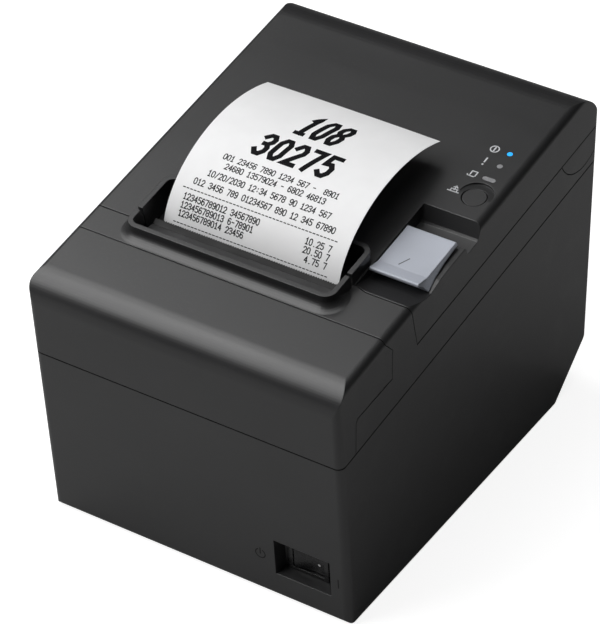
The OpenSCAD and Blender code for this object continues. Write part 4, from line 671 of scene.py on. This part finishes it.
class PRINTER_OT_inner(bpy.types.Operator):
    """Finishes the plastic parts inside and the sockets"""

    bl_idname = "printer.inner"
    bl_label = "Inner plastic"

    def execute(self, context):
        finish = context.scene.printer_finish
        inner = moulded("Inner moulding", finish.inner_colour[:], rough=(0.4, 0.5), dust=0.1)
        dress(inner, "roll_bucket", "cover_liner")
        black = moulded("Switch black", (0.006, 0.006, 0.0065, 1.0), grain=0.0004, depth=0.000002, rough=(0.22, 0.3))
        dress(black, "switch_housing", "power_rocker", "power_socket", "cover_sensor")
        cream = moulded("Socket nylon", (0.62, 0.61, 0.56, 1.0), grain=0.0003, depth=0.00001, rough=(0.34, 0.42))
        dress(cream, "drawer_socket", "near_end_lever")
        gear = moulded("Gear acetal", (0.72, 0.7, 0.62, 1.0), grain=0.0003, depth=0.000008, rough=(0.28, 0.38))
        dress(gear, "platen_gear", "idler_gear_a", "idler_gear_b", "cutter_gear")
        return {"FINISHED"}


class PRINTER_OT_metal(bpy.types.Operator):
    """Finishes the metal parts"""

    bl_idname = "printer.metal"
    bl_label = "Metal parts"

    def execute(self, context):
        zinc = metal(
            "Zinc plate", grey(0.52, -0.02), rough=(0.3, 0.46), across=500.0, along=120.0, tint=grey(0.45, 0.12)
        )
        dress(zinc, "base_plate", "mech_frame", "cutter_frame", "feed_motor", "cutter_motor")
        screws = metal("Screw steel", grey(0.4), rough=(0.28, 0.4), across=900.0, along=900.0)
        dress(screws, "base_screws", "frame_screws", "liner_screws")
        steel = metal("Ground steel", grey(0.56), rough=(0.16, 0.32))
        dress(steel, "moving_blade", "fixed_blade", "platen_shaft", "gear_pins", "cutter_gear_pin", "hinge_pins")
        dress(steel, "lever_pin", "usb_socket")
        tear = metal("Blackened steel", grey(0.028), rough=(0.42, 0.55), across=900.0)
        dress(tear, "tear_bar")
        wire = metal("Spring wire", grey(0.6), rough=(0.14, 0.24), across=900.0, along=900.0)
        dress(wire, "head_springs", "lever_spring", "button_spring")
        brass = metal("Turned brass", (0.62, 0.42, 0.16, 1.0), rough=(0.2, 0.34), across=1200.0)
        dress(brass, "motor_pinion", "cutter_pinion", "platen_bushes")
        sink = metal("Sink aluminium", grey(0.62, -0.01), rough=(0.34, 0.5), across=700.0, along=60.0)
        dress(sink, "heat_sink")
        return {"FINISHED"}


class PRINTER_OT_boards(bpy.types.Operator):
    """Finishes the circuit boards and the print head"""

    bl_idname = "printer.boards"
    bl_label = "Boards and head"

    def execute(self, context):
        dress(circuit_board("Solder mask"), "main_board", "panel_board")
        glaze = moulded("Head glaze", (0.5, 0.43, 0.33, 1.0), grain=0.0008, depth=0.000004, rough=(0.1, 0.2), dust=0.0)
        dress(glaze, "print_head")
        return {"FINISHED"}


class PRINTER_OT_rubber(bpy.types.Operator):
    """Finishes the platen and the feet"""

    bl_idname = "printer.rubber"
    bl_label = "Rubber"

    def execute(self, context):
        dress(rubber("Platen rubber", (0.012, 0.012, 0.013, 1.0)), "platen_rubber")
        dress(rubber("Foot rubber", (0.009, 0.009, 0.009, 1.0)), "rubber_feet")
        return {"FINISHED"}


class PRINTER_OT_lever(bpy.types.Operator):
    """Finishes the cover-open lever and lays its small stroke"""

    bl_idname = "printer.lever"
    bl_label = "Cover-open lever"

    def execute(self, context):
        finish = context.scene.printer_finish
        # Its edges are lightened by lift: painted highlight and wear along the lip.
        plastic = moulded(
            "Pale lever moulding", finish.lever_colour[:], grain=0.00035, depth=0.000006, rough=(0.36, 0.44),
            edge=0.0006, dust=0.03, lift=1.25, gloss=0.5,
        )
        dress(plastic, "cover_open_lever")
        build = bmesh.new()
        add_ribbon(build, LEVER_STROKE, LEVER_STROKE_WIDTH, lambda x, y: on_top(x, y, LEVER_STROKE_LIFT))
        stroke = ink("Lever stroke", (0.12, 0.125, 0.14, 1.0))
        new_piece("lever_stroke", finished_mesh("lever_stroke", build), "open_lever", stroke)
        return {"FINISHED"}


class PRINTER_OT_paper(bpy.types.Operator):
    """Lays the curled receipt, and finishes the roll, its core and the web"""

    bl_idname = "printer.paper"
    bl_label = "Paper"

    def execute(self, context):
        colour = context.scene.printer_finish.paper_colour[:]
        sheet_paper = paper("Thermal paper", colour)
        build = bmesh.new()
        across, along, thickness = 24, 110, 0.11
        half = PAPER_WIDTH / 2
        faces = []
        for lift in (0.0, -thickness):
            faces.append([
                [
                    build.verts.new(on_paper(PAPER_MIDDLE - half + PAPER_WIDTH * i / across,
                                             PATH_LENGTHS[-1] * j / along, lift))
                    for i in range(across + 1)
                ]
                for j in range(along + 1)
            ])
        upper, lower = faces
        for j in range(along):
            for i in range(across):
                build.faces.new((upper[j][i], upper[j][i + 1], upper[j + 1][i + 1], upper[j + 1][i]))
                build.faces.new((lower[j][i], lower[j + 1][i], lower[j + 1][i + 1], lower[j][i + 1]))
        for j in range(along):
            build.faces.new((upper[j + 1][0], lower[j + 1][0], lower[j][0], upper[j][0]))
            build.faces.new((upper[j][-1], lower[j][-1], lower[j + 1][-1], upper[j + 1][-1]))
        for i in range(across):
            build.faces.new((upper[0][i], lower[0][i], lower[0][i + 1], upper[0][i + 1]))
            build.faces.new((upper[-1][i + 1], lower[-1][i + 1], lower[-1][i], upper[-1][i]))
        bmesh.ops.recalc_face_normals(build, faces=build.faces)
        sheet = finished_mesh("receipt_sheet", build)
        sheet.set_sharp_from_angle(angle=math.radians(40))
        piece = new_piece("receipt_sheet", sheet, "roll_cover", sheet_paper)
        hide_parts("receipt_paper")
        dress(sheet_paper, "paper_web")
        dress(paper("Wound paper", colour, rings=True), "paper_roll")
        core = paper("Core card", (0.42, 0.3, 0.17, 1.0))
        dress(core, "roll_core")
        return {"FINISHED"}


class PRINTER_OT_print(bpy.types.Operator):
    """Prints rows of plain figures on the receipt"""

    bl_idname = "printer.print"
    bl_label = "Printed figures"

    def execute(self, context):
        build = bmesh.new()
        for text, left, low, width, height, pen, slant in PRINT_ROWS:
            pitch = width * FIGURE_PITCH + pen * (BOLD_PEN_GAP if pen > BOLD_PEN else PEN_GAP)
            for place_no, sign in enumerate(text):
                for stroke in FIGURES[sign]:
                    path = [
                        (left + place_no * pitch + u * width + v / 2 * height * slant, low + v / 2 * height)
                        for u, v in stroke
                    ]
                    add_ribbon(build, path, pen, lambda x, s: on_paper(x, s, MARK_LIFT), step=1.0)
        figures = finished_mesh("printed_figures", build)
        black = ink("Thermal ink", context.scene.printer_marks.ink_colour[:], 0.7, gloss=0.1)
        piece = new_piece("printed_figures", figures, "roll_cover", black)
        return {"FINISHED"}


class PRINTER_OT_symbols(bpy.types.Operator):
    """Lays the symbols beside the lamps, those round the switch and the dot on the rocker"""

    bl_idname = "printer.symbols"
    bl_label = "Symbols"

    def execute(self, context):
        marks = context.scene.printer_marks
        pen = marks.symbol_pen / MM
        top = lambda x, y: on_top(x, y, MARK_LIFT)
        build = bmesh.new()
        # Standby sign
        add_ribbon(build, arc((53.3, 43.3), 1.75, 0, 360, 28), pen, top)
        add_ribbon(build, [(53.3, 42.3), (53.3, 44.3)], pen * 1.2, top)
        # Attention sign
        add_ribbon(build, [(53.3, 35.1), (53.3, 37.4)], pen * 1.3, top)
        add_disc(build, (53.3, 33.6), 0.42, top)
        # Paper sign: a curled slip
        add_ribbon(build, [(51.9, 26.2), (51.9, 28.6), (54.2, 28.6), (54.2, 26.2)], pen, top)
        add_ribbon(build, arc((51.4, 26.2), 0.5, 0, -180, 10), pen, top)
        add_ribbon(build, [(51.4, 25.7), (53.7, 25.7)], pen, top)
        # Feed sign: a slip over two arrows
        add_ribbon(build, [(49.6, 15.0), (49.6, 16.4), (52.2, 16.4), (52.2, 15.0)], pen, top)
        add_ribbon(build, [(50.9, 16.0), (50.9, 18.2)], pen, top)
        add_ribbon(build, [(50.1, 17.4), (50.9, 18.2), (51.7, 17.4)], pen, top)
        add_ribbon(build, [(48.6, 15.0), (53.2, 15.0)], pen, top)
        symbols = new_piece(
            "panel_symbols", finished_mesh("panel_symbols", build), "roll_cover",
            ink("Symbol ink", marks.symbol_colour[:]),
        )
        front = lambda x, z: on_front(x, z, MARK_LIFT)
        build = bmesh.new()
        add_ribbon(build, arc((29.9, 21.3), 2.2, 120, 420, 30), 0.5, front)
        add_ribbon(build, [(29.9, 21.3), (29.9, 24.1)], 0.5, front)
        add_ribbon(build, [(65.4, 19.8), (65.4, 24.0)], 0.55, front)
        sunk = new_piece(
            "switch_symbols", finished_mesh("switch_symbols", build), "case",
            ink("Sunk symbol", marks.engraving_colour[:], 0.8),
        )
        # White dot on the rocker
        rocker = NODES["power_rocker"]
        there = rocker.matrix_world
        back = there.inverted()
        start = back @ Vector((ROCKER_DOT[0] * MM, ROCKER_LOOK_FROM, ROCKER_DOT[1] * MM))
        found, spot, normal, _ = rocker.ray_cast(start, (back.to_3x3() @ Vector((0, 1, 0))).normalized())
        if not found:
            raise RuntimeError("The rocker has no face where its dot goes")
        spot, normal = there @ spot, (there.to_3x3() @ normal).normalized()
        side = Vector((0, 0, 1)).cross(normal).normalized()
        rise = normal.cross(side)
        build = bmesh.new()
        add_disc(
            build, (0, 0), ROCKER_DOT_RADIUS, lambda u, v: spot + (side * u + rise * v + normal * MARK_LIFT) * MM
        )
        dot = new_piece(
            "rocker_dot", finished_mesh("rocker_dot", build), "power_rocker", ink("Rocker dot", (0.75, 0.75, 0.74, 1.0))
        )
        return {"FINISHED"}


class PRINTER_OT_lamps(bpy.types.Operator):
    """Finishes the power lamp and the status lamps"""

    bl_idname = "printer.lamps"
    bl_label = "Lamps"

    def execute(self, context):
        light = context.scene.printer_finish.lamp_colour[:]
        dress(lamp("Power lamp", light, light, 0.75), "power_lamp")
        dress(lamp("Status lamp", (0.28, 0.28, 0.29, 1.0), None, 0.0), "status_lamps")
        return {"FINISHED"}


class PRINTER_OT_stage(bpy.types.Operator):
    """Sets the floor, the lamps, the sky and the camera"""

    bl_idname = "printer.stage"
    bl_label = "Stage"

    def execute(self, context):
        stage = context.scene.printer_stage
        scene = context.scene
        scene.view_settings.view_transform = "Standard"
        # Floor
        build = bmesh.new()
        bmesh.ops.create_grid(build, x_segments=2, y_segments=2, size=3.0)
        floor = bpy.data.objects.new("floor", finished_mesh("floor", build))
        scene.collection.objects.link(floor)
        material, tree, shader = new_material("Pale floor")
        cloudy = tree.spread(tree.noise(tree.place(), 6.0, 3.0), 0.3, 0.7)
        tint = [c * 0.985 for c in stage.floor_colour[:3]] + [1.0]
        tree.feed(shader.inputs["Base Color"], tree.mix(cloudy, tint, stage.floor_colour[:]))
        shader.inputs["Roughness"].default_value = 0.9
        shader.inputs["Specular IOR Level"].default_value = 0.1
        seen = tree.add("ShaderNodeLightPath").outputs["Is Camera Ray"]
        shader.inputs["Emission Strength"].default_value = stage.floor_glow
        tree.feed(shader.inputs["Emission Color"], tree.mix(seen, (0, 0, 0, 1), (1, 1, 1, 1)))
        floor.data.materials.append(material)
        # Sky
        world = bpy.data.worlds.new("Even sky")
        scene.world = world
        world.use_nodes = True
        sky = Tree(world.node_tree)
        world.node_tree.nodes.clear()
        path = sky.add("ShaderNodeLightPath").outputs
        shown = sky.math("MAXIMUM", path["Is Camera Ray"], path["Is Transmission Ray"])
        level = sky.spread(shown, 0.0, 1.0, stage.sky_level, 1.0)
        light = sky.add("ShaderNodeBackground", {"Color": (1, 1, 1, 1), "Strength": level}).outputs[0]
        sky.add("ShaderNodeOutputWorld", {"Surface": light})
        # Lamps
        target = Vector(LAMP_TARGET)
        for name, place, width, height, power in STAGE_LAMPS:
            data = bpy.data.lights.new(name, "AREA")
            data.shape = "RECTANGLE"
            data.size = width
            data.size_y = height
            data.energy = getattr(stage, power)
            lamp_object = bpy.data.objects.new(name, data)
            lamp_object.location = place
            lamp_object.rotation_euler = (target - Vector(place)).to_track_quat("-Z", "Y").to_euler()
            scene.collection.objects.link(lamp_object)
        # Camera
        data = bpy.data.cameras.new("view_camera")
        data.lens = stage.camera_lens
        data.sensor_width = 36.0
        data.shift_x, data.shift_y = CAMERA_SHIFT
        data.clip_end = 20.0
        camera = bpy.data.objects.new("view_camera", data)
        azimuth, elevation = stage.camera_azimuth, stage.camera_elevation
        back = Vector((
            math.sin(azimuth) * math.cos(elevation),
            -math.cos(azimuth) * math.cos(elevation),
            math.sin(elevation),
        ))
        camera.location = Vector((0, 0, stage.camera_target)) + back * stage.camera_distance
        camera.rotation_euler = (-back).to_track_quat("-Z", "Y").to_euler()
        scene.collection.objects.link(camera)
        scene.camera = camera
        return {"FINISHED"}


# ---- Panel ----


class PRINTER_PT_panel(bpy.types.Panel):
    """Lists the printer's settings and pieces"""

    bl_label = "Receipt Printer"
    bl_idname = "PRINTER_PT_panel"
    bl_space_type = "VIEW_3D"
    bl_region_type = "UI"
    bl_category = "Printer"

    def draw(self, context):
        for group in ("printer_finish", "printer_marks", "printer_stage"):
            box = self.layout.box()
            settings = getattr(context.scene, group)
            for name in type(settings).__annotations__:
                box.prop(settings, name)
        column = self.layout.column()
        for piece in OPERATORS:
            column.operator(piece.bl_idname)


SETTINGS = {"printer_finish": PrinterFinish, "printer_marks": PrinterMarks, "printer_stage": PrinterStage}
OPERATORS = (
    PRINTER_OT_stage, PRINTER_OT_case, PRINTER_OT_inner, PRINTER_OT_metal, PRINTER_OT_boards, PRINTER_OT_rubber,
    PRINTER_OT_lever, PRINTER_OT_paper, PRINTER_OT_print, PRINTER_OT_symbols, PRINTER_OT_lamps,
)


def register():
    for kind in (*SETTINGS.values(), *OPERATORS, PRINTER_PT_panel):
        bpy.utils.register_class(kind)
    for name, kind in SETTINGS.items():
        setattr(bpy.types.Scene, name, bpy.props.PointerProperty(type=kind))


def unregister():
    for name in SETTINGS:
        delattr(bpy.types.Scene, name)
    for kind in reversed((*SETTINGS.values(), *OPERATORS, PRINTER_PT_panel)):
        bpy.utils.unregister_class(kind)


def main():
    register()
    for piece in OPERATORS:
        group, name = piece.bl_idname.split(".")
        getattr(getattr(bpy.ops, group), name)()


if __name__ == "__main__":
    main()
